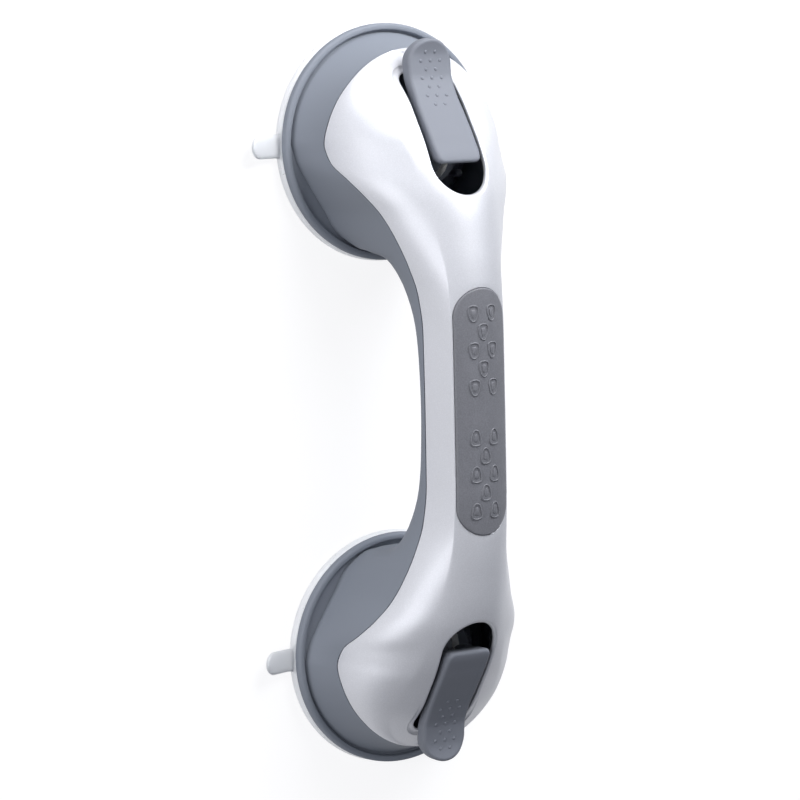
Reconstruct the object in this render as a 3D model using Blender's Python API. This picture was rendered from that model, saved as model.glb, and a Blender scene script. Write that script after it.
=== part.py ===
"""Suction grab bar: a two-shell hand bar on two lever-operated suction cups.

The bar lies along X on its cups, which rest on Z = 0. The cups' pull tabs point to -Y. Every shape is
worked out in millimetres about the bar's middle plane, and the frame empty moves the whole bar along Y,
so that the origin is under the middle of its box. Ends a (+X) and b (-X) mirror each other.
"""

import math

import bmesh
import bpy
from mathutils import Vector

MM = 0.001

# Overall
POD_X = 102.4  # cup axis from the bar's middle
CUP_R = 47.6
TAB_REACH = 61.4  # tip of the pull tab from the cup's axis
BODY_Y = (TAB_REACH - CUP_R) / 2
GAP = 0.3  # between meshes that touch

# Outer form: stations along the bar, then the values there
FORM_X = (0, 30, 45, 56, 66, 76, 84, 90, 96, 103, 112, 121, 129, 135, 139.8)
PARTING_Y = (13.5, 13.7, 15.4, 18.8, 22.5, 26.6, 31.4, 34.6, 36.6, 37.4)
PARTING_Z = (52, 52, 51.6, 50.6, 48.4, 44.2, 38.9, 32.3, 23.8, 20.5, 22.2, 24, 25.6, 25.8, 25.5)
RIDGE_Y = (12, 12, 12.2, 12.8, 14, 15.5, 17, 17.8, 18.6, 19.6)
RIDGE_FLARE = 0.36  # the ridges spread towards the nose by this part of the pod's half-width
RIDGE_Z = (70, 69.9, 69, 67.5, 65.5, 63, 60.5, 58.2, 55.6, 52, 44.8, 37.9, 31.4, 27.7, 25.5)
CROWN_Z = (73.4, 73.3, 72.8, 71.9, 70.4, 68.7, 66.6, 64, 60.9, 57, 51.2, 45, 38, 31.5, 25.5)
FOOT_Z = 5.8  # the walls end inside the flange
UNDER_X = (0, 20, 36, 46, 54, 58.5, 60)
UNDER_Z = (43.5, 42, 37.8, 32.8, 27, 19, FOOT_Z)
FOOT_X = (60, 60.8, 63, 67, 76, 84, 90, 96, 103)
FOOT_Y = (0, 10, 17, 23.5, 29.2, 34.3, 38, 41.4, 43.5)
POD_R = 37.4  # pod radius at the parting line
FOOT_R = 43.5  # pod radius where it meets the flange
WALL = 2.3

# Flange and the deck inside each pod
FLANGE_R = 47.1
FLANGE_Z = 4.0
LIP_Z = 7.5
DECK_R = 27.5
DECK_Z = 14.0
DECK_T = 2.5
TOWER_R = 17.6
TOWER_Z = 33.2
LIP_T = 2.0  # lip round the flange, then a groove this deep inside it
GROOVE = 1.4
FLANGE_INNER = 34.0
GROOVE_R = 36.0

# Cup, plunger, lever
CUP_SEAL_R = 41.0
CUP_LIFT = 5.0  # hollow under the cup's middle when it is drawn up
TAB_HALF = 4.6  # pull tab
TAB_T = 2.4
TAB_CURL = 5.0  # rise of its tip
STEM_HALF = (6.0, 5.7)  # half of the straight part along X, and the end radius
STEM_TOP = 38.5
BLADE_Y = 5.3
BLADE_X = 4.3
DISC_R = 16.0
DISC_Z = 8.5
DISC_T = 2.6
PIN_Z = 46.5
PIN_R = 2.0
PIN_HALF = 9.0
PLATE_T = 2.0
PLATE_HALF = (15.5, 10.6)
CAM_H = PIN_Z - TOWER_Z - PLATE_T - 2 * GAP  # pin to wear plate, locked
CAM_DROP = 4.5  # plunger travel over the whole swing
SWING = math.radians(85)
EAR_Y = (6.1, 8.9)
LEVER_X = (-7.0, 2, 11, 20, 27, 34, 41)
LEVER_TOP = (14.0, 9.4, 3.2, -2.8, -6.0, -6.6, -5.0)
LEVER_Y = (9.8, 10.1, 10.1, 9.8, 9.9, 10.0, 0)
LEVER_T = 2.6
SKIRT_T = 2.2
SKIRT_DEPTH = (6.5, 5.0)  # at the cam end and at the tab

# Lever slot in the cover
SLOT_HALF = 12.0
SLOT_INNER = -19.0  # arch of the slot, from the cup's axis towards the middle
SLOT_OUTER = 27.5
SCOOP_U = 30.0  # finger scoop under the lever's tab
SCOOP_R = 14.0
SCOOP = 0.45  # part of the cover's height over the parting line

# Grip pad
PAD_HALF = (48.0, 11.4)
PAD_SINK = 1.2
PAD_RISE = 0.5

# Screws
SCREW_U = 12.5
SCREW_Y = 19.0
SCREW_R = 1.5
HEAD_R = 3.0
BOSS_R = 3.6

ROUND = 36  # segments of a large turned piece

MATERIALS = {
    "grey_plastic": ((0.20, 0.22, 0.26), 0.45, 0.0),
    "silver_paint": ((0.62, 0.63, 0.67), 0.32, 0.55),
    "grey_rubber": ((0.17, 0.18, 0.20), 0.65, 0.0),
    "clear_tpe": ((0.86, 0.88, 0.90), 0.30, 0.0),
    "clear_plastic": ((0.78, 0.82, 0.87), 0.12, 0.0),
    "steel": ((0.62, 0.62, 0.63), 0.25, 1.0),
    "acetal": ((0.83, 0.83, 0.80), 0.40, 0.0),
}


def interpolate(xs, ys, x):
    """Monotone cubic through the stations, flat past both ends."""
    if x <= xs[0]:
        return ys[0]
    if x >= xs[-1]:
        return ys[-1]
    steps = [xs[i + 1] - xs[i] for i in range(len(xs) - 1)]
    slopes = [(ys[i + 1] - ys[i]) / steps[i] for i in range(len(steps))]
    i = next(n for n in range(len(steps)) if x <= xs[n + 1])

    def tangent(n):
        if n == 0 or n == len(steps):
            return slopes[min(n, len(slopes) - 1)] if n else 0.0
        before, after = slopes[n - 1], slopes[n]
        if before * after <= 0:
            return 0.0
        first = 2 * steps[n] + steps[n - 1]
        second = steps[n] + 2 * steps[n - 1]
        return (first + second) / (first / before + second / after)

    t = (x - xs[i]) / steps[i]
    rise = steps[i] * ((t**3 - 2 * t**2 + t) * tangent(i) + (t**3 - t**2) * tangent(i + 1))
    return (2 * t**3 - 3 * t**2 + 1) * ys[i] + (3 * t**2 - 2 * t**3) * ys[i + 1] + rise


def round_half(x, radius):
    """Half-width of a circle about the cup's axis."""
    return math.sqrt(max(0.0, radius**2 - (x - POD_X) ** 2))


def parting_half(x):
    if x > FORM_X[9]:
        return round_half(x, POD_R)
    return interpolate(FORM_X[:10], PARTING_Y, x)


def ridge_half(x):
    if x > FORM_X[9]:
        run = (x - FORM_X[9]) / (FORM_X[-1] - FORM_X[9])
        return round_half(x, POD_R) * (RIDGE_Y[-1] / POD_R + RIDGE_FLARE * run)
    return interpolate(FORM_X[:10], RIDGE_Y, x)


def foot_half(x):
    if x > FOOT_X[-1]:
        return round_half(x, FOOT_R)
    return interpolate(FOOT_X, FOOT_Y, x)


def crown_height(x, y):
    """Top of the cover between its two ridges, dished under the lever's tab."""
    crown = interpolate(FORM_X, CROWN_Z, x)
    ridge = interpolate(FORM_X, RIDGE_Z, x)
    away = ((x - POD_X - SCOOP_U) ** 2 + y**2) / SCOOP_R**2
    dish = SCOOP * (crown - interpolate(FORM_X, PARTING_Z, x)) * max(0.0, 1 - away) ** 2
    return crown - dish - (crown - ridge) * (y / max(ridge_half(x), 0.01)) ** 2


def cover_section(x, rows):
    """Points (y, z) of the cover's outside, from the crown over the ridge down to the parting line."""
    half, ridge_y = parting_half(x), ridge_half(x)
    low = interpolate(FORM_X, PARTING_Z, x) + GAP / 2
    ridge_z = crown_height(x, ridge_y)
    bulge = Vector((0.95 * half, low + 0.62 * (ridge_z - low)))
    start, end = Vector((half, low)), Vector((ridge_y, ridge_z))
    side = []
    for i in range(rows + 1):
        t = i / (rows + 1)
        side.append((1 - t) ** 2 * start + 2 * t * (1 - t) * bulge + t**2 * end)
    top = [Vector((ridge_y * (1 - i / rows), 0)) for i in range(rows + 1)]
    for point in top:
        point.y = crown_height(x, point.x)
    return (side + top)[::-1]


def cover_height(x, y):
    """Height of the cover's outside anywhere over its plan."""
    points = cover_section(abs(x), 6)
    for upper, lower in zip(points, points[1:]):
        if upper.x <= abs(y) <= lower.x:
            return upper.y + (lower.y - upper.y) * (abs(y) - upper.x) / (lower.x - upper.x)
    return points[-1].y


def housing_section(x, rows):
    """Points (y, z) of the housing's outside, from the parting line down to its foot or underside."""
    nose = POD_X + POD_R
    top_y = parting_half(x)
    top_z = interpolate(FORM_X, PARTING_Z, x) - GAP / 2
    if x > nose:
        run = (x - nose) / (FOOT_R - POD_R)
        top_y, top_z = 0.0, top_z - run * (top_z - FOOT_Z)
    low_y = foot_half(x)
    low_z = interpolate(UNDER_X, UNDER_Z, x)
    power = 2.6 - 1.4 * min(1.0, max(0.0, (x - 60) / 20))
    points = []
    for i in range(rows + 1):
        fall = math.sin(math.pi / 2 * i / rows) if x < 62 else i / rows
        inward = (1 - fall**power) ** (1 / power)
        points.append(Vector((low_y + (top_y - low_y) * inward, top_z - (top_z - low_z) * fall)))
    return points


def stations(last_radius):
    """Places along half the bar: evenly on the hand bar, closer at the neck, by angle round the nose."""
    hand = [0, 15, 30, 40, 47]
    neck = [52, 56, 58.5, 60, 61.2, 64.5, 69, 74, 79, 84, 88.5, 93, 97, 100.5, 103]
    nose = [POD_X + POD_R * math.sin(math.radians(a)) for a in (16, 31, 45, 58, 70, 81, 90)]
    if last_radius > POD_R:
        angles = [math.degrees(math.asin(POD_R / last_radius)) + d for d in (5, 12, 20)]
        nose += [POD_X + last_radius * math.sin(math.radians(a)) for a in angles] + [POD_X + last_radius]
    return hand + neck + nose


def new_object(name, material, verts, faces, origin=(0, 0, 0), closed=True):
    """Mesh object from millimetre points about its origin; a closed one has its faces turned outwards."""
    mesh = bpy.data.meshes.new(name)
    mesh.from_pydata([Vector(v) * MM for v in verts], [], faces)
    work = bmesh.new()
    work.from_mesh(mesh)
    bmesh.ops.remove_doubles(work, verts=work.verts, dist=0.00001)
    bmesh.ops.dissolve_degenerate(work, edges=work.edges, dist=0.00001)
    if closed:
        bmesh.ops.recalc_face_normals(work, faces=work.faces)
    work.to_mesh(mesh)
    work.free()
    mesh.shade_smooth()
    mesh.set_sharp_from_angle(angle=math.radians(35))
    obj = bpy.data.objects.new(name, mesh)
    bpy.context.collection.objects.link(obj)
    obj.location = Vector(origin) * MM
    obj.parent = FRAME
    if material:
        mesh.materials.append(MADE[material])
    return obj


def material_of(name, colour, roughness, metallic):
    material = bpy.data.materials.new(name)
    material.use_nodes = True
    shader = material.node_tree.nodes["Principled BSDF"]
    shader.inputs["Base Color"].default_value = (*colour, 1)
    shader.inputs["Roughness"].default_value = roughness
    shader.inputs["Metallic"].default_value = metallic
    material.diffuse_color = (*colour, 1)
    return material


def sheet(sections):
    """Vertices and faces of a skin over all four quarters of the bar from the sections of one quarter."""
    verts, faces = [], []
    for side_x in (1, -1):
        for side_y in (1, -1):
            base = len(verts)
            count = len(sections[0][1])
            for x, points in sections:
                verts += [(side_x * x, side_y * p.x, p.y) for p in points]
            for i in range(len(sections) - 1):
                for j in range(count - 1):
                    a = base + i * count + j
                    quad = (a, a + count, a + count + 1, a + 1)
                    faces.append(quad if side_x * side_y > 0 else quad[::-1])
    return verts, faces


def turned(profile, segments=ROUND, centre=(0, 0)):
    """Closed ring or solid from a (radius, z) profile; a radius may be a function of the angle.

    A profile that starts and ends on the axis gets poles there; any other is closed into a ring.
    """
    verts, faces = [], []
    count = len(profile)
    on_axis = profile[0][0] == 0
    for i in range(segments):
        angle = 2 * math.pi * i / segments
        for radius, z in profile:
            reach = radius(angle) if callable(radius) else radius
            verts.append((centre[0] + reach * math.cos(angle), centre[1] + reach * math.sin(angle), z))
    for i in range(segments):
        for j in range(count - on_axis):
            a, b = i * count + j, i * count + (j + 1) % count
            c, d = (i + 1) % segments * count + (j + 1) % count, (i + 1) % segments * count + j
            faces.append((a, b, c, d))
    return verts, faces


def prism(outline, low, high, plane="xy"):
    """Closed block: an outline in XY between two heights, or in XZ between two Y values."""
    count = len(outline)
    if plane == "xy":
        verts = [(x, y, level) for level in (low, high) for x, y in outline]
    else:
        verts = [(x, level, z) for level in (low, high) for x, z in outline]
    faces = [tuple(range(count))[::-1], tuple(range(count, 2 * count))]
    for i in range(count):
        j = (i + 1) % count
        faces.append((i, j, count + j, count + i))
    return verts, faces


def arc(centre, radius, start, end, count):
    """Points on an arc, angles in degrees."""
    angles = [math.radians(start + (end - start) * i / count) for i in range(count + 1)]
    return [(centre[0] + radius * math.cos(a), centre[1] + radius * math.sin(a)) for a in angles]


def oblong(half_straight, radius, count=10):
    """Outline with two round ends, along X."""
    return arc((half_straight, 0), radius, -90, 90, count) + arc((-half_straight, 0), radius, 90, 270, count)


def shifted(outline, x, sign):
    """Outline moved along X, and mirrored first for the far end."""
    return [(sign * px + x, py) for px, py in outline]


def boolean(obj, cutter, operation):
    """Live Boolean with a hidden helper."""
    cutter.hide_render = True
    cutter.display_type = "WIRE"
    modifier = obj.modifiers.new(cutter.name, "BOOLEAN")
    modifier.object = cutter
    modifier.operation = operation
    modifier.solver = "EXACT"


def thicken(obj, thickness):
    modifier = obj.modifiers.new("wall", "SOLIDIFY")
    modifier.thickness = thickness * MM
    modifier.offset = -1
    modifier.use_even_offset = True
    modifier.use_quality_normals = True


def trim(obj, side):
    """Cut off what a wall's slanted rim holds past the parting line: side is 1 above it and -1 below."""
    places = [x for x in stations(POD_R) if x < POD_X + POD_R] + [FLANGE_R + POD_X + 5]
    edge = [(x, interpolate(FORM_X, PARTING_Z, x) - side * GAP / 2) for x in places]
    outline = [(-x, z) for x, z in edge[:0:-1]] + edge
    far = side * 100.0
    outline += [(places[-1], far), (-places[-1], far)]
    cutter = new_object(f"trim_{obj.name}", None, *prism(outline, -FLANGE_R, FLANGE_R, "xz"))
    boolean(obj, cutter, "DIFFERENCE")


def hat_profile():
    """Section of the flange, its lip and groove, the raised deck and the tower round the stem."""
    bevel = 0.7
    return [
        (FLANGE_INNER, FLANGE_Z),
        (FLANGE_R, FLANGE_Z),
        (FLANGE_R, LIP_Z - bevel),
        (FLANGE_R - bevel, LIP_Z),
        (FLANGE_R - LIP_T, LIP_Z),
        (FLANGE_R - LIP_T - bevel, LIP_Z - GROOVE),
        (GROOVE_R, LIP_Z - GROOVE),
        (DECK_R + 1, DECK_Z + DECK_T),
        (TOWER_R, DECK_Z + DECK_T),
        (TOWER_R, TOWER_Z),
        (stem_hole_reach, TOWER_Z),
        (stem_hole_reach, DECK_Z),
        (DECK_R, DECK_Z),
    ]


def stem_hole_reach(angle):
    """Distance from the cup's axis to the wall of the stem's oblong hole, in the given direction."""
    half, radius = STEM_HALF[0], STEM_HALF[1] + GAP
    across, along = abs(math.sin(angle)), abs(math.cos(angle))
    if radius * along <= half * across:
        return radius / across
    return half * along + math.sqrt(radius**2 - (half * across) ** 2)


def screw_places(signs=(1, -1)):
    spread = [(u, y) for u in (-SCREW_U, SCREW_U) for y in (-SCREW_Y, SCREW_Y)]
    return [(sign * (POD_X + u), y) for sign in signs for u, y in spread]


def together(shapes):
    """One set of vertices and faces from several."""
    verts, faces = [], []
    for more_verts, more_faces in shapes:
        faces += [tuple(i + len(verts) for i in face) for face in more_faces]
        verts += more_verts
    return verts, faces


def post(place, radius, low, high):
    """Upright round bar."""
    return prism(arc(place, radius, 0, 330, 11), low, high)


def build_housing():
    sections = [(x, housing_section(x, 5)) for x in stations(FOOT_R)]
    housing = new_object("lower_housing", "grey_plastic", *sheet(sections), closed=False)
    thicken(housing, WALL)
    trim(housing, 1)
    hats = [turned(hat_profile(), ROUND, (sign * POD_X, 0)) for sign in (1, -1)]
    boolean(housing, new_object("flanges_and_decks", None, *together(hats)), "UNION")
    holes = [post(place, SCREW_R + GAP, DECK_Z - 2, DECK_Z + DECK_T + 2) for place in screw_places()]
    boolean(housing, new_object("screw_ways", None, *together(holes)), "DIFFERENCE")
    return housing


def slot_outline(grow=0.0):
    """Lever slot from the arch at its inner end to its square outer end, from the cup's axis."""
    half = SLOT_HALF + grow
    arch = arc((SLOT_INNER + SLOT_HALF, 0), half, 90, 270, 12)
    corner = 4.0
    outer = SLOT_OUTER + grow
    right = arc((outer - corner, -half + corner), corner, -90, 0, 4)
    left = arc((outer - corner, half - corner), corner, 0, 90, 4)
    return arch + right + left


def pad_solid(grow, low, high):
    """Pad-shaped block between two offsets from the cover's crown."""
    half_x, half_y = PAD_HALF[0] + grow, PAD_HALF[1] + grow
    straight = half_x - half_y
    xs = [straight + half_y * math.sin(math.radians(a)) for a in (90, 75, 55, 30, 0)] + [straight / 2]
    xs = [-x for x in xs] + [0.0] + xs[::-1]
    rows = 6
    verts = []
    for level in (low, high):
        for x in xs:
            reach = max(0.0, abs(x) - straight)
            half = math.sqrt(max(0.0, half_y**2 - reach**2))
            for j in range(rows + 1):
                y = half * (2 * j / rows - 1)
                verts.append((x, y, crown_height(abs(x), y) + level))
    count = rows + 1
    layer = len(xs) * count
    faces = []
    for i in range(len(xs) - 1):
        for j in range(rows):
            a = i * count + j
            faces.append((a, a + 1, a + count + 1, a + count))
            faces.append((layer + a, layer + a + count, layer + a + count + 1, layer + a + 1))
        for j in (0, rows):
            a = i * count + j
            faces.append((a, a + count, layer + a + count, layer + a))
    return verts, faces


def build_cover():
    sections = [(x, cover_section(x, 3)) for x in stations(POD_R)]
    cover = new_object("top_cover", "silver_paint", *sheet(sections), closed=False)
    thicken(cover, WALL + 0.3)
    trim(cover, -1)
    boolean(cover, new_object("pad_recess", None, *pad_solid(GAP, -PAD_SINK - GAP, 4)), "DIFFERENCE")
    bosses = []
    for x, y in screw_places():
        top = min(cover_height(*place) for place in arc((x, y), BOSS_R, 0, 330, 11)) - 1.0
        bosses.append(post((x, y), BOSS_R, DECK_Z + DECK_T + GAP, top))
    boolean(cover, new_object("bosses", None, *together(bosses)), "UNION")
    cuts = [post(place, SCREW_R + GAP, DECK_Z, DECK_Z + 19) for place in screw_places()]
    cuts += [prism(shifted(slot_outline(), sign * POD_X, sign), 20, 90) for sign in (1, -1)]
    boolean(cover, new_object("slots_and_bores", None, *together(cuts)), "DIFFERENCE")
    return cover


def build_cup(sign, end):
    """Soft disc drawn up in the middle, with a flat sealing rim and a pull tab that curls up a little."""
    profile = [
        (0.0, CUP_LIFT),
        (14, CUP_LIFT - 0.4),
        (30, 1.6),
        (38, 0.25),
        (CUP_SEAL_R, 0.0),
        (CUP_R - 0.3, 0.0),
        (CUP_R, 0.5),
        (CUP_R - 0.3, 2.4),
        (CUP_R - 1.6, FLANGE_Z - GAP),
        (32.5, FLANGE_Z - GAP),
        (27, 5.6),
        (18, DISC_Z - GAP),
        (0.0, DISC_Z - GAP),
    ]
    cup = new_object(f"suction_cup_{end}", "clear_tpe", *turned(profile), origin=(sign * POD_X, 0, 0))
    root, tip, foot = CUP_R - 3, TAB_REACH, 0.6
    round_end = arc((0, TAB_HALF - tip), TAB_HALF, 0, -180, 8)
    verts, faces = prism([(TAB_HALF, -root)] + round_end + [(-TAB_HALF, -root)], 0, TAB_T)
    bent = [(x, y, z + foot + TAB_CURL * ((-y - root) / (tip - root)) ** 2) for x, y, z in verts]
    tab = new_object(f"tab_{end}", None, bent, faces, origin=(sign * POD_X, 0, 0))
    boolean(cup, tab, "UNION")
    return cup


def build_plunger(sign, end):
    """Draw stem: a disc moulded to the cup, an oblong stem that cannot turn, and a blade for the pin."""
    origin = (sign * POD_X, 0, 0)
    disc = [(0, DISC_Z), (DISC_R, DISC_Z), (DISC_R, DISC_Z + DISC_T), (0, DISC_Z + DISC_T)]
    plunger = new_object(f"plunger_{end}", "clear_plastic", *turned(disc, 32), origin=origin)
    stem = prism(oblong(*STEM_HALF), DISC_Z + 1, STEM_TOP)
    boolean(plunger, new_object(f"stem_{end}", None, *stem, origin=origin), "UNION")
    crest = arc((0, PIN_Z), BLADE_X, 0, 180, 10)
    blade = prism([(BLADE_X, STEM_TOP - 2)] + crest + [(-BLADE_X, STEM_TOP - 2)], -BLADE_Y, BLADE_Y, "xz")
    boolean(plunger, new_object(f"blade_{end}", None, *blade, origin=origin), "UNION")
    hole = prism(arc((0, PIN_Z), PIN_R + GAP, 0, 345, 23), -8, 8, "xz")
    boolean(plunger, new_object(f"pin_way_{end}", None, *hole, origin=origin), "DIFFERENCE")
    return plunger


def build_pin(sign, end):
    """Steel pin along Y with chamfered ends."""
    edge = 0.4
    profile = [(0, -PIN_HALF), (PIN_R - edge, -PIN_HALF), (PIN_R, edge - PIN_HALF)]
    profile += [(r, -z) for r, z in profile[::-1]]
    verts, faces = turned(profile, 24)
    laid = [(x, z, y) for x, y, z in verts]
    return new_object(f"lever_pin_{end}", "steel", laid, faces, origin=(sign * POD_X, 0, PIN_Z))


def build_plate(sign, end):
    """Wear plate on top of the tower, round the stem."""
    low = TOWER_Z + GAP
    radius = PLATE_HALF[1]
    outline = oblong(PLATE_HALF[0] - radius, radius)
    origin = (sign * POD_X, 0, 0)
    plate = new_object(f"thrust_plate_{end}", "acetal", *prism(outline, low, low + PLATE_T), origin=origin)
    hole = prism(oblong(STEM_HALF[0], STEM_HALF[1] + 2 * GAP), low - 1, low + PLATE_T + 1)
    boolean(plate, new_object(f"plate_way_{end}", None, *hole, origin=origin), "DIFFERENCE")
    return plate


def cam_outline():
    """Ear of the lever seen from the side, about the pin.

    The wear plate is always square to the plunger, so the outline is the envelope of a flat face whose
    distance from the pin falls in proportion to the swing: pin and plunger then keep one constant ratio.
    """
    slope = CAM_DROP / SWING
    points = []
    for i in range(13):
        angle = SWING * i / 12
        reach = CAM_H - slope * angle
        normal = Vector((-math.sin(angle), -math.cos(angle)))
        along = Vector((-math.cos(angle), math.sin(angle)))
        points.append(tuple(reach * normal - slope * along))
    heel = (points[0][0] + 2.0, points[0][1])
    return [(8.0, 1.0), (6.8, -7.5), heel] + points + [(LEVER_X[0] + 0.9, LEVER_TOP[0] - 2.5), (1.0, 6.5)]


def lever_top(x):
    return interpolate(LEVER_X, LEVER_TOP, x)


def lever_half(x):
    """Half-width of the lever: straight, a slight waist, then a round tab."""
    centre, radius = LEVER_X[-1] - LEVER_Y[-2], LEVER_Y[-2]
    if x > centre:
        return math.sqrt(max(0.0, radius**2 - (x - centre) ** 2))
    return interpolate(LEVER_X[:-1], LEVER_Y[:-1], x)


def lever_places(inset):
    """Places along the lever, closer round the tab's end."""
    start, end = LEVER_X[0] + inset, LEVER_X[-1] - inset
    centre = LEVER_X[-1] - LEVER_Y[-2]
    straight = [start + (centre - start) * i / 12 for i in range(12)]
    return straight + [centre + (end - centre) * math.sin(math.radians(a)) for a in (0, 20, 40, 58, 74, 90)]


def lever_block(inset, top, deeper):
    """Curved slab that follows the lever's plan and side view, from below its top to below its skirt."""
    verts, rows = [], 4
    places = lever_places(inset)
    for is_top in (False, True):
        for x in places:
            fade = min(1.0, max(0.0, x / LEVER_X[4]))
            skirt = SKIRT_DEPTH[0] + fade * (SKIRT_DEPTH[1] - SKIRT_DEPTH[0])
            level = -top if is_top else -skirt - deeper
            half = max(0.0, lever_half(x + inset if x > 20 else x) - inset)
            for j in range(rows + 1):
                verts.append((x, half * (2 * j / rows - 1), lever_top(x) + level))
    count, layer = rows + 1, len(places) * (rows + 1)
    faces = []
    for i in range(len(places) - 1):
        for j in range(rows):
            a = i * count + j
            faces.append((a, a + 1, a + count + 1, a + count))
            faces.append((layer + a, layer + a + count, layer + a + count + 1, layer + a + 1))
        for j in (0, rows):
            a = i * count + j
            faces.append((a, a + count, layer + a + count, layer + a))
    for i in (0, len(places) - 1):
        for j in range(rows):
            a = i * count + j
            faces.append((a, a + 1, layer + a + 1, layer + a))
    return verts, faces


def mirrored(shape, sign):
    verts, faces = shape
    return [(sign * x, y, z) for x, y, z in verts], faces


def build_lever(sign, end):
    """Cam lever: a shell with side skirts, and two cam ears either side of the plunger's blade."""
    origin = (sign * POD_X, 0, PIN_Z)
    shell = lever_block(0, 0, 0)
    lever = new_object(f"lever_{end}", "grey_plastic", *mirrored(shell, sign), origin=origin)
    hollow = mirrored(lever_block(SKIRT_T, LEVER_T, 3), sign)
    boolean(lever, new_object(f"lever_hollow_{end}", None, *hollow, origin=origin), "DIFFERENCE")
    for n, (low, high) in enumerate((EAR_Y, (-EAR_Y[1], -EAR_Y[0]))):
        ear = mirrored(prism(cam_outline(), low, high, "xz"), sign)
        boolean(lever, new_object(f"ear_{end}{n}", None, *ear, origin=origin), "UNION")
    hole = prism(arc((0, 0), PIN_R + GAP, 0, 345, 23), -12, 12, "xz")
    boolean(lever, new_object(f"lever_way_{end}", None, *hole, origin=origin), "DIFFERENCE")
    return lever


def build_screws(sign, end):
    """Pan-head self-tapping screws from below the deck into the cover's bosses."""
    low = DECK_Z - GAP
    for n, (x, y) in enumerate(screw_places((sign,))):
        profile = [(0, low - 2.2), (HEAD_R - 0.8, low - 2.2), (HEAD_R, low - 1.4), (HEAD_R, low)]
        profile += [(SCREW_R, low), (SCREW_R, low + 16), (0.4, low + 17.5), (0, low + 17.5)]
        new_object(f"housing_screw_{end}{n + 1}", "steel", *turned(profile, 10), origin=(x, y, 0))


for old in list(bpy.data.objects):
    bpy.data.objects.remove(old)

MADE = {name: material_of(name, *values) for name, values in MATERIALS.items()}
FRAME = bpy.data.objects.new("bar_frame", None)
FRAME.location = (0, BODY_Y * MM, 0)
bpy.context.collection.objects.link(FRAME)

build_housing()
build_cover()
new_object("grip_pad", "grey_rubber", *pad_solid(0, -PAD_SINK, PAD_RISE))
for pod_sign, pod_end in ((1, "a"), (-1, "b")):
    build_cup(pod_sign, pod_end)
    build_plunger(pod_sign, pod_end)
    build_pin(pod_sign, pod_end)
    build_plate(pod_sign, pod_end)
    build_lever(pod_sign, pod_end)
    build_screws(pod_sign, pod_end)
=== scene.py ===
"""Visual pieces of a suction grab bar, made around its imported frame.

Shapes are worked out in millimetres about the bar's middle plane, with X along the bar and Z up, and
millimetre_mesh puts them in the frame. Ends a (+X) and b (-X) mirror each other.
"""

import math
from functools import lru_cache

import bmesh
import bpy
from bpy.props import FloatProperty, FloatVectorProperty, IntProperty, PointerProperty
from mathutils import Matrix, Vector


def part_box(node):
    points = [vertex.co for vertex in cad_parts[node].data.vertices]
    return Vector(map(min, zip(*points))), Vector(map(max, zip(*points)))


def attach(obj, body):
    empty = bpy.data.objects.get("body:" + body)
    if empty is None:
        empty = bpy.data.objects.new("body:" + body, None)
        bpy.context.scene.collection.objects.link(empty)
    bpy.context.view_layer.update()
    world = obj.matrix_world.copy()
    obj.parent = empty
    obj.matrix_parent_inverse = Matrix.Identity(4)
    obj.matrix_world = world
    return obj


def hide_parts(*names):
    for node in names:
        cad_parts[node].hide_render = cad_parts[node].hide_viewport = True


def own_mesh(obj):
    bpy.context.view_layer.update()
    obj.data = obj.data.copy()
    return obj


bl_info = {
    "name": "Suction Grab Bar",
    "version": (1, 0, 0),
    "blender": (4, 5, 0),
    "location": "3D View > Sidebar > Grab Bar",
    "description": "Makes the visible pieces of a two-cup suction grab bar around its frame",
    "category": "Object",
}

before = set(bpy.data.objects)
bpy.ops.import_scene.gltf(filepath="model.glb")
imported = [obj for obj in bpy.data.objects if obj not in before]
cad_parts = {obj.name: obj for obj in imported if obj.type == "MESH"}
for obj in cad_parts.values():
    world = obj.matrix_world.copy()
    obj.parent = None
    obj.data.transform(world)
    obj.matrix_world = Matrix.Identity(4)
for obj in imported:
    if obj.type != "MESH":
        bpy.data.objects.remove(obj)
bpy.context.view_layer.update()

MM = 0.001
MERGE = 0.000006  # points nearer than this are one point
ENDS = ((1, "a"), (-1, "b"))


def millimetres(node):
    """Lowest and highest corner of a CAD node, in millimetres."""
    return [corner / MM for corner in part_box(node)]


PIN_LOW, PIN_HIGH = millimetres("lever_pin_a")
CUP_LOW, CUP_HIGH = millimetres("suction_cup_a")
PAD_HIGH = millimetres("grip_pad")[1]
POD_X = round((PIN_LOW.x + PIN_HIGH.x) / 2, 3)
BODY_Y = round((PIN_LOW.y + PIN_HIGH.y) / 2, 3)
PIN_Z = round((PIN_LOW.z + PIN_HIGH.z) / 2, 3)
CUP_R = round((CUP_HIGH.x - CUP_LOW.x) / 2, 3)
TAB_TIP = round(BODY_Y - CUP_LOW.y, 3)
PAD_HALF = (round(PAD_HIGH.x, 3), round(PAD_HIGH.y - BODY_Y, 3))

# Outer form: stations along the bar, then the values there
FORM_X = (0, 30, 45, 56, 66, 76, 84, 90, 96, 103, 112, 121, 129, 135, 139.8)
PARTING_Y = (13.5, 13.7, 15.4, 18.8, 22.5, 26.6, 31.4, 34.6, 36.6, 37.4)
PARTING_Z = (52, 52, 51.6, 50.6, 48.4, 44.2, 38.9, 32.3, 23.8, 20.5, 22.2, 24, 25.6, 25.8, 25.5)
RIDGE_Y = (12, 12, 12.2, 12.8, 14, 15.5, 17, 17.8, 18.6, 19.6)
RIDGE_FLARE = 0.36
RIDGE_Z = (70, 69.9, 69, 67.5, 65.5, 63, 60.5, 58.2, 55.6, 52, 44.8, 37.9, 31.4, 27.7, 25.5)
CROWN_Z = (73.4, 73.3, 72.8, 71.9, 70.4, 68.7, 66.6, 64, 60.9, 57, 51.2, 45, 38, 31.5, 25.5)
POD_R = 37.4
NOSE = POD_X + POD_R
POD_START = FORM_X[9]  # the plan is round from here to the nose
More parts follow.
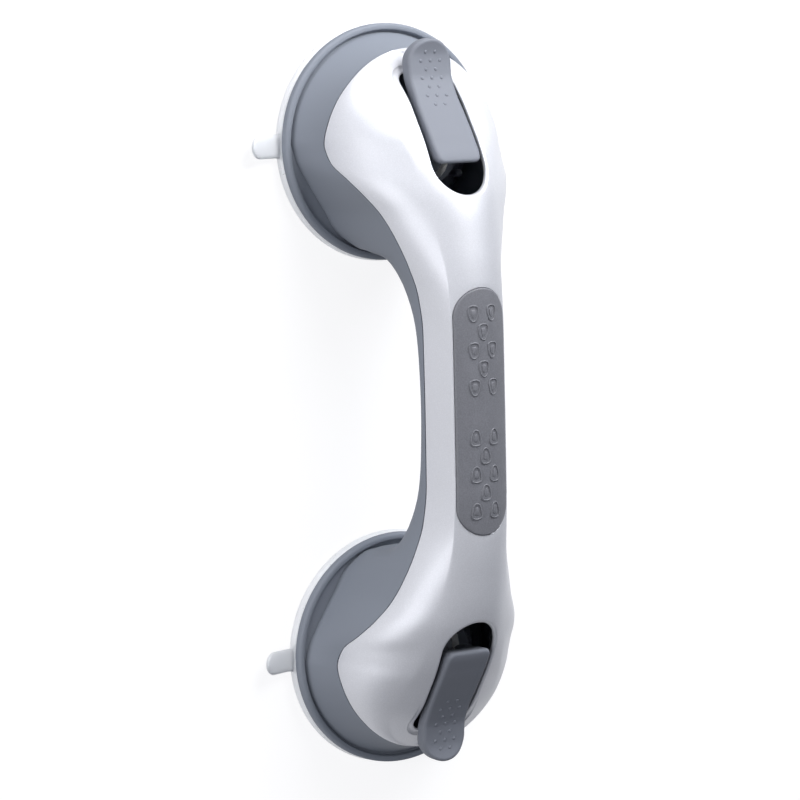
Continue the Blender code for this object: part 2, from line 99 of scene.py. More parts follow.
FOOT_Z = 5.8
UNDER_X = (0, 20, 36, 46, 54, 58.5, 60)
UNDER_Z = (43.5, 42, 37.8, 32.8, 27, 19, FOOT_Z)
FOOT_X = (60, 60.8, 63, 67, 76, 84, 90, 96, 103)
FOOT_Y = (0, 10, 17, 23.5, 29.2, 34.3, 38, 41.4, 43.5)
FOOT_R = 43.5

# Lever slot, from the cup's axis
SLOT_HALF = 12.0
SLOT_ARCH = -7.0
SLOT_SQUARE = 23.5
SLOT_CORNER = 4.0
RIM_WALL = 1.8

# Flange, deck and tower
FLANGE_R = 47.1
FLANGE_Z = 4.0
LIP_Z = 7.5
DECK_R = 27.5
DECK_Z = 14.0
DECK_T = 2.5
TOWER_R = 17.6
TOWER_Z = 33.2

# Plunger
STEM_HALF = (6.0, 5.7)
STEM_TOP = 38.5
BLADE_HALF = (4.3, 5.3)
DISC_R = 16.0
DISC_Z = 8.5
DISC_T = 2.6

# Lever, about its pin
PIN_R = 2.0
GAP = 0.3
CAM_H = PIN_Z - TOWER_Z - 2.0 - 2 * GAP
CAM_DROP = 4.5
SWING = math.radians(85)
EAR_Y = (6.1, 8.9)
LEVER_X = (-7.0, 2, 11, 20, 27, 34, 41)
LEVER_TOP = (14.0, 9.4, 3.2, -2.8, -6.0, -6.6, -5.0)
LEVER_Y = (9.8, 10.1, 10.1, 9.8, 9.9, 10.0, 0)
SKIRT_DEPTH = (6.5, 5.0)


# ---------------------------------------------------------------- outer form


@lru_cache(maxsize=None)
def tangents(xs, ys):
    """Slopes at the stations of a monotone cubic."""
    steps = [b - a for a, b in zip(xs, xs[1:])]
    slopes = [(b - a) / step for a, b, step in zip(ys, ys[1:], steps)]
    found = [0.0]
    for n in range(1, len(steps)):
        before, after = slopes[n - 1], slopes[n]
        first, second = 2 * steps[n] + steps[n - 1], steps[n] + 2 * steps[n - 1]
        same_way = before * after > 0
        found.append((first + second) / (first / before + second / after) if same_way else 0.0)
    return found + [slopes[-1]]


def interpolate(xs, ys, x):
    """Monotone cubic through the stations, flat past both ends."""
    if x <= xs[0]:
        return ys[0]
    if x >= xs[-1]:
        return ys[-1]
    i = next(n for n in range(len(xs) - 1) if x <= xs[n + 1])
    slope = tangents(xs, ys)
    step = xs[i + 1] - xs[i]
    t = (x - xs[i]) / step
    rise = step * ((t**3 - 2 * t**2 + t) * slope[i] + (t**3 - t**2) * slope[i + 1])
    return (2 * t**3 - 3 * t**2 + 1) * ys[i] + (3 * t**2 - 2 * t**3) * ys[i + 1] + rise


def round_half(x, radius):
    """Half width of a circle about the cup's axis."""
    return math.sqrt(max(0.0, radius**2 - (x - POD_X) ** 2))


def parting_half(x):
    """Half width of the bar at the parting line."""
    if x > POD_START:
        return round_half(x, POD_R)
    return interpolate(FORM_X[:10], PARTING_Y, x)


def ridge_half(x):
    """Distance of a ridge from the middle."""
    if x > POD_START:
        run = (x - POD_START) / (FORM_X[-1] - POD_START)
        return round_half(x, POD_R) * (RIDGE_Y[-1] / POD_R + RIDGE_FLARE * run)
    return interpolate(FORM_X[:10], RIDGE_Y, x)


def foot_half(x):
    """Half width of the housing at its foot or underside."""
    return round_half(x, FOOT_R) if x > POD_START else interpolate(FOOT_X, FOOT_Y, x)


def seam_height(x):
    """Height of the parting line."""
    return interpolate(FORM_X, PARTING_Z, x)


def crown_height(x, across):
    """Top of the cover; across is 0 in the middle and 1 at a ridge."""
    crown = interpolate(FORM_X, CROWN_Z, x)
    return crown - (crown - interpolate(FORM_X, RIDGE_Z, x)) * across**2


def spread(start, end, count):
    """Evenly spaced values, both ends included."""
    return [start + (end - start) * i / count for i in range(count + 1)]


def clamp(value):
    """Value held between 0 and 1."""
    return min(1.0, max(0.0, value))


def share_of(value, ends):
    """How far a value is between two ends, from 0 to 1."""
    return clamp((value - ends[0]) / (ends[1] - ends[0]))


def ease(value):
    """Smooth step from 0 to 1."""
    value = clamp(value)
    return value * value * (3 - 2 * value)


def arc(centre, radius, start, end, count):
    """Points on an arc, angles in degrees."""
    angles = [math.radians(a) for a in spread(start, end, count)]
    return [(centre[0] + radius * math.cos(a), centre[1] + radius * math.sin(a)) for a in angles]


# ---------------------------------------------------------------- mesh tools


class Shape:
    """Points and faces in millimetres about the bar's middle plane."""

    def __init__(self):
        self.points = []
        self.faces = []

    def grid(self, rows, closed=False):
        """Quads between neighbouring rows of points; a closed row is a ring."""
        base, count = len(self.points), len(rows[0])
        for row in rows:
            self.points.extend(tuple(point) for point in row)
        for i in range(len(rows) - 1):
            for j in range(count if closed else count - 1):
                a, b = base + i * count + j, base + i * count + (j + 1) % count
                self.faces.append((a, b, b + count, a + count))
        return self

    def cap(self, ring):
        """One face over a ring of points."""
        base = len(self.points)
        self.points.extend(tuple(point) for point in ring)
        self.faces.append(tuple(range(base, base + len(ring))))
        return self

    def across(self, ring, height, count):
        """Fill a loop that is symmetric about Y = 0 with rows from side to side."""
        half = len(ring) // 2
        rows = []
        for i in range(half + 1):
            left, right = ring[i], ring[-i % len(ring)]
            row = [tuple(left[k] + (right[k] - left[k]) * t for k in (0, 1)) for t in spread(0, 1, count)]
            rows.append([(x, y, height(x, y)) for x, y in row])
        return self.grid(rows)

    def turned(self, profile, count, centre=(0.0, 0.0)):
        """Profile of (radius, z) points about an upright axis; a radius may follow the angle."""
        rows = []
        for radius, z in profile:
            row = []
            for i in range(count):
                angle = 2 * math.pi * i / count
                reach = radius(angle) if callable(radius) else radius
                row.append((centre[0] + reach * math.cos(angle), centre[1] + reach * math.sin(angle), z))
            rows.append(row)
        return self.grid(rows, closed=True)

    def add(self, other):
        """Take in another shape's points and faces."""
        base = len(self.points)
        self.points += other.points
        self.faces += [tuple(i + base for i in face) for face in other.faces]
        return self

    def moved(self, sign=1, x=0.0, z=0.0, mirror_y=False):
        """Copy, mirrored along X by a sign of -1 or across Y, then moved."""
        side = -1 if mirror_y else 1
        copy = Shape()
        copy.points = [(sign * px + x, side * py, pz + z) for px, py, pz in self.points]
        copy.faces = list(self.faces)
        return copy


def block(outline, low, high, bevel, plane="xy"):
    """Closed block from an outline, with its edges rounded off by a bevel."""
    count = len(outline)
    middle = (sum(p[0] for p in outline) / count, sum(p[1] for p in outline) / count)

    def inset(amount):
        """Outline moved towards its middle by an amount."""
        moved = []
        for i, (x, y) in enumerate(outline):
            back, ahead = outline[i - 1], outline[(i + 1) % count]
            normal = Vector((ahead[1] - back[1], back[0] - ahead[0])).normalized()
            if normal.dot(Vector((x - middle[0], y - middle[1]))) < 0:
                normal.negate()
            moved.append((x - normal.x * amount, y - normal.y * amount))
        return moved

    rows = []
    rounding = [(bevel * (1 - math.sin(a)), bevel * (1 - math.cos(a))) for a in spread(0, math.pi / 2, 3)]
    for start, way in ((low, 1), (high, -1)):
        part = [[(x, y, start + way * drop) for x, y in inset(amount)] for amount, drop in rounding]
        rows += part if way > 0 else part[::-1]
    shape = Shape().grid(rows, closed=True).cap(rows[0]).cap(rows[-1])
    if plane == "xz":
        shape.points = [(x, z, y) for x, y, z in shape.points]
    return shape


def millimetre_mesh(name, shape, material, sharp=40.0):
    """Object in the frame from a shape, with its faces turned out and its sharp edges marked."""
    mesh = bpy.data.meshes.new(name)
    points = [(x * MM, (y + BODY_Y) * MM, z * MM) for x, y, z in shape.points]
    mesh.from_pydata(points, [], shape.faces)
    work = bmesh.new()
    work.from_mesh(mesh)
    bmesh.ops.remove_doubles(work, verts=work.verts, dist=MERGE)
    bmesh.ops.dissolve_degenerate(work, edges=work.edges, dist=MERGE)
    bmesh.ops.recalc_face_normals(work, faces=work.faces)
    work.to_mesh(mesh)
    work.free()
    mesh.shade_smooth()
    mesh.set_sharp_from_angle(angle=math.radians(sharp))
    mesh.materials.append(material)
    made = bpy.data.objects.new(name, mesh)
    bpy.context.scene.collection.objects.link(made)
    return made


def as_plain_mesh(made):
    """Turn a piece and its modifiers into its mesh alone."""
    graph = bpy.context.evaluated_depsgraph_get()
    mesh = bpy.data.meshes.new_from_object(made.evaluated_get(graph))
    made.modifiers.clear()
    made.data = mesh
    return made


def place_piece(made, body, slot, *nodes):
    """Put a finished piece under its body and hide the CAD nodes that it stands for; slot is not used."""
    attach(made, body)
    if nodes:
        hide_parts(*nodes)


# ---------------------------------------------------------------- shader and geometry node tools


class Socket:
    """Output of a node that takes part in Python arithmetic through Math nodes."""

    def __init__(self, nodes, output):
        self.nodes = nodes
        self.output = output

    def math(self, operation, first, second):
        return self.nodes.add(self.nodes.math_kind, {"operation": operation}, {0: first, 1: second})

    def __add__(self, other):
        return self.math("ADD", self, other)

    def __radd__(self, other):
        return self.math("ADD", other, self)

    def __sub__(self, other):
        return self.math("SUBTRACT", self, other)

    def __rsub__(self, other):
        return self.math("SUBTRACT", other, self)

    def __mul__(self, other):
        return self.math("MULTIPLY", self, other)

    def __rmul__(self, other):
        return self.math("MULTIPLY", other, self)


class Nodes:
    """Builds a node tree: one method makes every node."""

    math_kind = "ShaderNodeMath"

    def __init__(self, tree):
        self.tree = tree

    def add(self, kind, settings=None, sockets=None, output=0):
        """New node: its settings come first, then its sockets' values or links."""
        node = self.tree.nodes.new(kind)
        for name, value in (settings or {}).items():
            setattr(node, name, value)
        for name, value in (sockets or {}).items():
            if isinstance(value, Socket):
                self.tree.links.new(value.output, node.inputs[name])
            else:
                node.inputs[name].default_value = value
        return Socket(self, node.outputs[output]) if len(node.outputs) else node

    def noise(self, scale, detail=3.0, stretch=(1, 1, 1)):
        """Noise about 0.5 over the piece; scale is in patches a metre."""
        where = self.add("ShaderNodeTexCoord", output="Object")
        where = self.add("ShaderNodeMapping", None, {"Vector": where, "Scale": stretch})
        sockets = {"Vector": where, "Scale": scale, "Detail": detail}
        return self.add("ShaderNodeTexNoise", None, sockets, "Fac")

    def band(self, value, low, high, start=0.0, end=1.0):
        """Value carried from low..high to start..end, and held past both."""
        sockets = {"Value": value, "From Min": low, "From Max": high, "To Min": start, "To Max": end}
        return self.add("ShaderNodeMapRange", {"clamp": True}, sockets)

    def mix(self, factor, first, second):
        """Mix of two colours."""
        sockets = {0: factor, 6: first, 7: second}
        return self.add("ShaderNodeMix", {"data_type": "RGBA"}, sockets, 2)

    def bump(self, height, strength, distance):
        """Normal that follows a height."""
        sockets = {"Height": height, "Strength": strength, "Distance": distance}
        return self.add("ShaderNodeBump", None, sockets)


def shade(colour, factor):
    """Colour for a socket, lighter or darker by a factor."""
    return (*(min(1.0, c * factor) for c in colour), 1.0)


def new_finish(name, constants, paint):
    """Principled material: constants stay on the shader's sockets, and paint gives what varies."""
    material = bpy.data.materials.get(name)
    if material:
        return material
    material = bpy.data.materials.new(name)
    material.use_nodes = True
    tree = material.node_tree
    tree.nodes.clear()
    nodes = Nodes(tree)
    varying = paint(nodes)
    surface = nodes.add("ShaderNodeBsdfPrincipled", None, {**constants, **varying})
    nodes.add("ShaderNodeOutputMaterial", None, {"Surface": surface})
    return material


def moulded_plastic(name, colour, roughness):
    """Satin moulded plastic: fine spark-eroded grain, a slow drift of tone and faint rubbed patches."""

    def paint(nodes):
        tone = nodes.noise(22, 2)
        grain = nodes.noise(2600, 2)
        rubbed = nodes.band(nodes.noise(70, 5), 0.52, 0.75)
        base = nodes.mix(nodes.band(tone, 0.3, 0.7), shade(colour, 0.93), shade(colour, 1.07))
        base = nodes.mix(rubbed * 0.25, base, shade(colour, 1.18))
        base = nodes.mix(nodes.band(grain, 0.35, 0.65) * 0.18, base, shade(colour, 0.8))
        rough = nodes.band(grain, 0.3, 0.7, roughness - 0.05, roughness + 0.07) - rubbed * 0.05
        normal = nodes.bump(grain, 0.35, 0.00006)
        return {"Base Color": base, "Roughness": rough, "Normal": normal}

    return new_finish(name, {"IOR": 1.5, "Specular IOR Level": 0.5}, paint)


def pearl_paint(colour):
    """Silver pearl paint: bright and dark flakes under a clear coat with a trace of orange peel."""

    def paint(nodes):
        where = nodes.add("ShaderNodeTexCoord", output="Object")
        flake = nodes.add("ShaderNodeTexVoronoi", None, {"Vector": where, "Scale": 5200.0}, "Color")
        spark = nodes.add("ShaderNodeSeparateColor", None, {"Color": flake}, "Red")
        drift = nodes.band(nodes.noise(16, 2), 0.3, 0.7)
        base = nodes.mix(drift, shade(colour, 0.97), shade(colour, 1.03))
        base = nodes.mix(nodes.band(spark, 0.72, 1.0) * 0.5, base, shade(colour, 1.22))
        base = nodes.mix(nodes.band(spark, 0.22, 0.0) * 0.45, base, shade(colour, 0.84))
        rough = nodes.band(spark, 0.0, 1.0, 0.40, 0.50) + drift * 0.03
        metal = nodes.band(spark, 0.0, 1.0, 0.30, 0.46)
        normal = nodes.bump(nodes.noise(900, 1), 0.1, 0.00005)
        coat = nodes.band(nodes.noise(60, 4), 0.4, 0.8, 0.26, 0.16)
        varying = {"Base Color": base, "Roughness": rough, "Metallic": metal, "Normal": normal}
        return {**varying, "Coat Weight": coat}

    return new_finish("silver_pearl_paint", {"Coat Roughness": 0.24, "Coat IOR": 1.45}, paint)


def pad_rubber(colour):
    """Matte soft rubber with a fine pebbled grain and paler dust in it."""

    def paint(nodes):
        grain = nodes.noise(1900, 3)
        dust = nodes.band(nodes.noise(130, 5), 0.5, 0.8)
        base = nodes.mix(nodes.band(grain, 0.35, 0.65), shade(colour, 0.86), shade(colour, 1.08))
        base = nodes.mix(dust * 0.3, base, shade(colour, 1.35))
        rough = nodes.band(grain, 0.3, 0.7, 0.42, 0.54) + dust * 0.08
        normal = nodes.bump(grain, 0.6, 0.00009)
        return {"Base Color": base, "Roughness": rough, "Normal": normal}

    return new_finish("grip_rubber", {"Sheen Weight": 0.12, "Sheen Roughness": 0.5, "IOR": 1.5}, paint)


def soft_tpe(colour):
    """Translucent milky rubber with cloudy depth and a satin skin."""

    def paint(nodes):
        cloud = nodes.band(nodes.noise(55, 4), 0.3, 0.7)
        skin = nodes.noise(1200, 2)
        base = nodes.mix(cloud, shade(colour, 0.95), shade(colour, 1.04))
        rough = nodes.band(skin, 0.3, 0.7, 0.26, 0.36) + cloud * 0.04
        normal = nodes.bump(skin, 0.2, 0.00005)
        return {"Base Color": base, "Roughness": rough, "Normal": normal}

    return new_finish("milky_tpe", {"IOR": 1.45, "Transmission Weight": 0.35}, paint)


def clear_plastic(colour):
    """Clear moulded plastic with flow haze."""

    def paint(nodes):
        flow = nodes.band(nodes.noise(180, 3, (1, 1, 0.3)), 0.35, 0.7)
        base = nodes.mix(flow, shade(colour, 1.0), shade(colour, 0.88))
        rough = 0.08 + flow * 0.14
        normal = nodes.bump(nodes.noise(400, 2), 0.15, 0.00008)
        return {"Base Color": base, "Roughness": rough, "Normal": normal}

    return new_finish("clear_plastic_haze", {"IOR": 1.49, "Transmission Weight": 0.7}, paint)


def metal(name, colour, roughness, stretch):
    """Ground or plated steel: fine lines along one way, with dull spots."""

    def paint(nodes):
        lines = nodes.noise(3000, 2, stretch)
        spots = nodes.band(nodes.noise(420, 4), 0.5, 0.75)
        base = nodes.mix(nodes.band(lines, 0.3, 0.7), shade(colour, 0.85), shade(colour, 1.1))
        base = nodes.mix(spots * 0.35, base, shade(colour, 0.7))
        rough = nodes.band(lines, 0.3, 0.7, roughness - 0.06, roughness + 0.08) + spots * 0.12
        normal = nodes.bump(lines, 0.25, 0.00004)
        return {"Base Color": base, "Roughness": rough, "Normal": normal}

    return new_finish(name, {"Metallic": 1.0}, paint)


def studio_floor(colour):
    """Pale floor, nearly white, with a faint mottle; part of it glows, so that it stays pale all over."""
    material = bpy.data.materials.new("studio_floor")
    material.use_nodes = True
    tree = material.node_tree
    tree.nodes.clear()
    nodes = Nodes(tree)
    mottle = nodes.band(nodes.noise(9, 3), 0.3, 0.7)
    base = nodes.mix(mottle, shade(colour, 0.985), shade(colour, 1.0))
    matte = nodes.add("ShaderNodeBsdfDiffuse", None, {"Color": base})
    glow = nodes.add("ShaderNodeEmission", None, {"Color": base, "Strength": 1.12})
    both = nodes.add("ShaderNodeMixShader", None, {0: 0.78, 1: matte, 2: glow})
    nodes.add("ShaderNodeOutputMaterial", None, {"Surface": both})
    return material


class GeometryNodes(Nodes):
    """Geometry node tree of one modifier, with named inputs."""

    def __init__(self, name):
        super().__init__(bpy.data.node_groups.new(name, "GeometryNodeTree"))
        self.tree.interface.new_socket("Geometry", in_out="INPUT", socket_type="NodeSocketGeometry")
        self.tree.interface.new_socket("Geometry", in_out="OUTPUT", socket_type="NodeSocketGeometry")
        self.inputs = {}
        self.way_in = None

    def number(self, name, value):
        """Named input for a length or a share."""
        made = self.tree.interface.new_socket(name, in_out="INPUT", socket_type="NodeSocketFloat")
        made.default_value = value
        self.inputs[name] = (made.identifier, value)

    def start(self):
        """Place the group's input once its named inputs are there."""
        self.way_in = self.tree.nodes.new("NodeGroupInput")

    def read(self, name):
        return Socket(self, self.way_in.outputs[name])

    def close(self, instance, material, sockets=None):
        """Put the instance on each point, realise it, set the material and lead the result out."""
        on_points = {"Points": self.read("Geometry"), "Instance": instance, "Rotation": aligned(self)}
        instances = self.add("GeometryNodeInstanceOnPoints", None, {**on_points, **(sockets or {})})
        real = self.add("GeometryNodeRealizeInstances", None, {"Geometry": instances})
        dressed = self.add("GeometryNodeSetMaterial", None, {"Geometry": real, "Material": material})
        out = self.tree.nodes.new("NodeGroupOutput")
        self.tree.links.new(dressed.output, out.inputs[0])

    def run_on(self, made):
        """Give the piece this tree, set its inputs by identifier, and keep the result as a plain mesh."""
        modifier = made.modifiers.new(self.tree.name, "NODES")
        modifier.node_group = self.tree
        for identifier, value in self.inputs.values():
            modifier[identifier] = value
        return as_plain_mesh(made)


def seed_points(name, places):
    """Points to carry instances: each has a place, the direction it stands in, and the way it points."""
    mesh = bpy.data.meshes.new(name)
    mesh.from_pydata([(x * MM, (y + BODY_Y) * MM, z * MM) for (x, y, z), _, _ in places], [], [])
    up = mesh.attributes.new("stand", "FLOAT_VECTOR", "POINT")
    way = mesh.attributes.new("heading", "FLOAT_VECTOR", "POINT")
    for i, (_, stand, heading) in enumerate(places):
        up.data[i].vector = stand
        way.data[i].vector = heading
    made = bpy.data.objects.new(name, mesh)
    bpy.context.scene.collection.objects.link(made)
    return made


def aligned(nodes):
    """Rotation that stands an instance on its point's direction and turns it to its heading."""
    stand, heading = (
        nodes.add("GeometryNodeInputNamedAttribute", {"data_type": "FLOAT_VECTOR"}, {"Name": name})
        for name in ("stand", "heading")
    )
    turn = nodes.add("FunctionNodeAlignRotationToVector", {"axis": "Z"}, {"Vector": stand})
    sockets = {"Rotation": turn, "Vector": heading}
    return nodes.add("FunctionNodeAlignRotationToVector", {"axis": "X", "pivot_axis": "Z"}, sockets)


# ---------------------------------------------------------------- sizes and colours


def size(name, description, value):
    """Property for a length, with its default in millimetres."""
    return FloatProperty(
        name=name,
        description=description,
        default=value * MM,
        min=0.0,
        subtype="DISTANCE",
        unit="LENGTH",
        precision=5,
    )


def tint(name, description, value):
    """Property for a colour."""
    return FloatVectorProperty(
        name=name,
        description=description,
        default=value,
        size=3,
        min=0.0,
        max=1.0,
        subtype="COLOR",
    )


class GrabBarSizes(bpy.types.PropertyGroup):
    """Sizes of the fine surface, over the sizes that the frame fixes."""

    cover_wall: size("Cover wall", "Wall of the silver cover", 2.3)
    housing_wall: size("Housing wall", "Wall of the lower housing", 1.8)
    seam: size("Seam", "Gap between cover and housing", 0.66)
    slot_round: size("Slot rounding", "Radius round the mouth of a lever slot", 1.2)
    slot_depth: size("Slot lip", "Depth of the lip that turns down into the slot", 2.5)
    bowl_reach: size("Finger bowl", "Reach of the bowl round a slot's outer end", 1.4)
    lever_round: size("Lever rounding", "Radius along the lever's top edge", 1.5)
    lever_plate: size("Lever plate", "Thickness of the lever's top", 2.6)
    lever_skirt: size("Lever skirt", "Thickness of the lever's skirt", 2.2)
    dot_radius: size("Dot radius", "Radius of a grip dot on a lever", 0.72)
    dot_height: size("Dot height", "Height of a grip dot", 0.34)
    drop_length: size("Drop length", "Length of a raised drop on the pad", 6.0)
    drop_width: size("Drop width", "Width of a raised drop on the pad", 3.9)
    drop_ridge: size("Drop ridge", "Thickness of a drop's ridge", 0.32)
    pad_round: size("Pad rounding", "Radius along the pad's edge", 0.5)
    pad_rise: size("Pad rise", "Height of the pad over the cover", 0.5)
    recess: size("Pad recess", "Depth of the recess that the pad lies in", 1.5)
    ring_steps: IntProperty(
        name="Ring steps",
        description="Steps round a turned piece",
        default=144,
        min=24,
        max=288,
    )


class GrabBarColours(bpy.types.PropertyGroup):
    """Colours of the finishes."""

    housing: tint("Housing", "Lower housing", (0.275, 0.298, 0.352))
    cover: tint("Cover", "Silver pearl paint", (0.605, 0.612, 0.65))
    lever: tint("Lever", "Levers", (0.225, 0.242, 0.285))
    pad: tint("Pad", "Grip pad", (0.150, 0.153, 0.172))
    cup: tint("Cup", "Suction cups", (0.84, 0.855, 0.88))
    plunger: tint("Plunger", "Clear plungers", (0.80, 0.84, 0.90))
    floor: tint("Floor", "Studio floor", (0.97, 0.97, 0.98))


def sizes():
    """Sizes in millimetres, by name."""
    group = bpy.context.scene.grab_bar_sizes
    names = [name for name in group.__annotations__ if name != "ring_steps"]
    return {name: getattr(group, name) / MM for name in names}


def colour(name):
    """Colour of a finish, by name."""
    return tuple(getattr(bpy.context.scene.grab_bar_colours, name))


# ---------------------------------------------------------------- cover

SIDE_ROWS = (0, 0.03, 0.08, 0.15, 0.23, 0.32, 0.42, 0.52, 0.62, 0.72, 0.81, 0.89, 0.95, 1)
CROWN_COLUMNS = 24
PAD_BORDER = 62.0
SLOT_BORDERS = (76.0, 137.3)
SLOT_STEPS = 30
NOSE_STEPS = 8
END_STEPS = 12
PAD_STEPS = 18
BAND_STEPS = 7
BOWL_START = 14.0  # from the cup's axis
BOWL_DIP = 0.8  # depth of the bowl for its reach
RECESS_GAP = 0.12
RECESS_ROUND = 0.3


def cover_point(u, q, seam):
    """Outside of the cover: q runs from 0 on the crown over 1 at a ridge to 2 at the seam."""
    half_ridge = ridge_half(u)
    if abs(q) <= 1:
        return Vector((u, q * half_ridge, crown_height(u, q)))
    t = 2 - abs(q)
    half, low = parting_half(u), seam_height(u) + seam / 2
    high = interpolate(FORM_X, RIDGE_Z, u)
    y = (1 - t) ** 2 * half + 2 * t * (1 - t) * 0.95 * half + t**2 * half_ridge
    z = (1 - t) ** 2 * low + 2 * t * (1 - t) * (low + 0.62 * (high - low)) + t**2 * high
    return Vector((u, math.copysign(y, q), z))


def cover_inside(u, q, seam, wall):
    """Point of the cover's inner skin under an outside point."""
    low = seam_height(u) + seam / 2
    if u > NOSE - 0.05:
        return Vector((NOSE - wall, 0, low))
    ahead = min(u + 0.2, NOSE - 0.01)
    along = cover_point(ahead, q, seam) - cover_point(u - 0.2, q, seam)
    across = cover_point(u, min(q + 0.04, 2), seam) - cover_point(u, max(q - 0.04, -2), seam)
    normal = along.cross(across)
    point = cover_point(u, q, seam)
    if abs(q) >= 2:
        normal.z = 0
    if normal.dot(point - Vector((min(u, POD_X), 0, low - 5))) < 0:
        normal.negate()
    inside = point - normal.normalized() * wall
    inside.z = max(inside.z, low)
    return inside


def slot_loop(grow):
    """Slot outline from its inner apex round the +Y side and back; grow may follow the place."""
    start, end, flank = POD_X + SLOT_ARCH, POD_X + SLOT_SQUARE, SLOT_HALF - SLOT_CORNER
    plain = [(start, 0, SLOT_HALF, math.radians(a)) for a in spread(180, 90, 24)]
    plain += [(u, 0, SLOT_HALF, math.pi / 2) for u in spread(start, end, SLOT_STEPS)[1:-1]]
    plain += [(end, flank, SLOT_CORNER, math.radians(a)) for a in spread(90, 0, NOSE_STEPS)]
    plain += [(end, y, SLOT_CORNER, 0.0) for y in spread(flank, 0, END_STEPS)[1:]]
    loop = []
    for x, y, radius, angle in plain:
        edge = x + radius * math.cos(angle)
        reach = radius + (grow(edge) if callable(grow) else grow)
        loop.append((x + reach * math.cos(angle), y + reach * math.sin(angle)))
    return loop + [(x, -y) for x, y in loop[-2:0:-1]]


def slot_frame():
    """Border of the crown round a slot as (u, w), in step with slot_loop."""
    near, far = SLOT_BORDERS
    start, end = POD_X + SLOT_ARCH, POD_X + SLOT_SQUARE
    path = [(near, w) for w in spread(0, 1, END_STEPS)]
    path += [(u, 1.0) for u in spread(near, start, END_STEPS)[1:]]
    path += [(u, 1.0) for u in spread(start, end, SLOT_STEPS)[1:]]
    path += [(u, 1.0) for u in nose_places(end, far, NOSE_STEPS)[1:]]
    path += [(far, w) for w in spread(1, 0, END_STEPS)[1:]]
    return path + [(u, -w) for u, w in path[-2:0:-1]]


def nose_places(start, end, count):
    """Places towards the nose, evenly by angle about the cup's axis."""
    first, last = (math.asin(clamp((u - POD_X) / POD_R)) for u in (start, end))
    places = [POD_X + POD_R * math.sin(a) for a in spread(first, last, count)]
    return [start] + places[1:-1] + [end]


def pad_loop(grow):
    """Half of the pad's outline from (0, +half) round its end to (0, -half)."""
    straight, radius = PAD_HALF[0] - PAD_HALF[1], PAD_HALF[1] + grow
    side = [(u, radius) for u in spread(0, straight, PAD_STEPS)[:-1]]
    return side + arc((straight, 0), radius, 90, -90, 48) + [(u, -y) for u, y in side[::-1]]


def pad_frame():
    """Border of the crown round half the pad as (u, w), in step with pad_loop."""
    straight = PAD_HALF[0] - PAD_HALF[1]
    places = spread(0, straight, PAD_STEPS) + spread(straight, PAD_BORDER, END_STEPS)[1:]
    side = [(u, 1.0) for u in places]
    end = [(PAD_BORDER, w) for w in spread(1, -1, CROWN_COLUMNS)[1:-1]]
    return side + end + [(u, -w) for u, w in side[::-1]]


def ring_rows(loop, border, shares):
    """Rows of (u, w) between a loop in the plan and a border."""
    inner = [(u, y / ridge_half(u)) for u, y in loop]
    pairs = list(zip(inner, border))
    return [[(a + (c - a) * share, b + (d - b) * share) for (a, b), (c, d) in pairs] for share in shares]


def bowl(edge, reach):
    """Reach of the finger bowl beyond the slot at a place along the slot's edge."""
    return reach * ease((edge - POD_X - BOWL_START) / (SLOT_SQUARE + SLOT_CORNER - BOWL_START))


def strip_places():
    """Stations of the cover's sides, in step with the borders of the pad and the slot."""
    near, far = SLOT_BORDERS
    stops = (
        (spread, 0, PAD_HALF[0] - PAD_HALF[1], PAD_STEPS),
        (spread, PAD_HALF[0] - PAD_HALF[1], PAD_BORDER, END_STEPS),
        (spread, PAD_BORDER, near, BAND_STEPS),
        (spread, near, POD_X + SLOT_ARCH, END_STEPS),
        (spread, POD_X + SLOT_ARCH, POD_X + SLOT_SQUARE, SLOT_STEPS),
        (nose_places, POD_X + SLOT_SQUARE, far, NOSE_STEPS),
        (nose_places, far, NOSE, BAND_STEPS),
    )
    places = [0.0]
    for way, start, end, count in stops:
        places += way(start, end, count)[1:]
    return places


def on_crown(loop, drops):
    """Loop in the plan laid on the crown, each point lowered by its drop."""
    return [(u, y, crown_height(u, y / ridge_half(u)) - drop) for (u, y), drop in zip(loop, drops)]


def slot_mouth(s, hole, inside):
    """Bowl, rolled edge and lip of a slot, from its outline in the crown to the inner skin."""
    mouth, depth, bowl_reach = s["slot_round"], s["slot_depth"], s["bowl_reach"]
    dips = [BOWL_DIP * bowl(u, bowl_reach) for u, _ in slot_loop(0)]
    rows = [on_crown(hole, [0] * len(hole))]
    for share in (0.06, 0.15, 0.3, 0.5, 0.7, 0.85, 1):
        loop = slot_loop(lambda u: mouth + (RIM_WALL - mouth + bowl(u, bowl_reach)) * (1 - share))
        rows.append(on_crown(loop, [dip * (1 - (1 - share) ** 2) for dip in dips]))
    for angle in spread(0, math.pi / 2, 6)[1:]:
        drop = mouth * (1 - math.cos(angle))
        rows.append(on_crown(slot_loop(mouth * (1 - math.sin(angle))), [dip + drop for dip in dips]))
    for reach, drop in ((0, depth * 0.6), (0, depth - 0.4), (0.4, depth), (RIM_WALL, depth)):
        rows.append(on_crown(slot_loop(reach), [dip + drop for dip in dips]))
    rows.append([inside(u, q) for u, q in ring_rows(hole, slot_frame(), (0,))[0]])
    return Shape().grid(rows, closed=True)


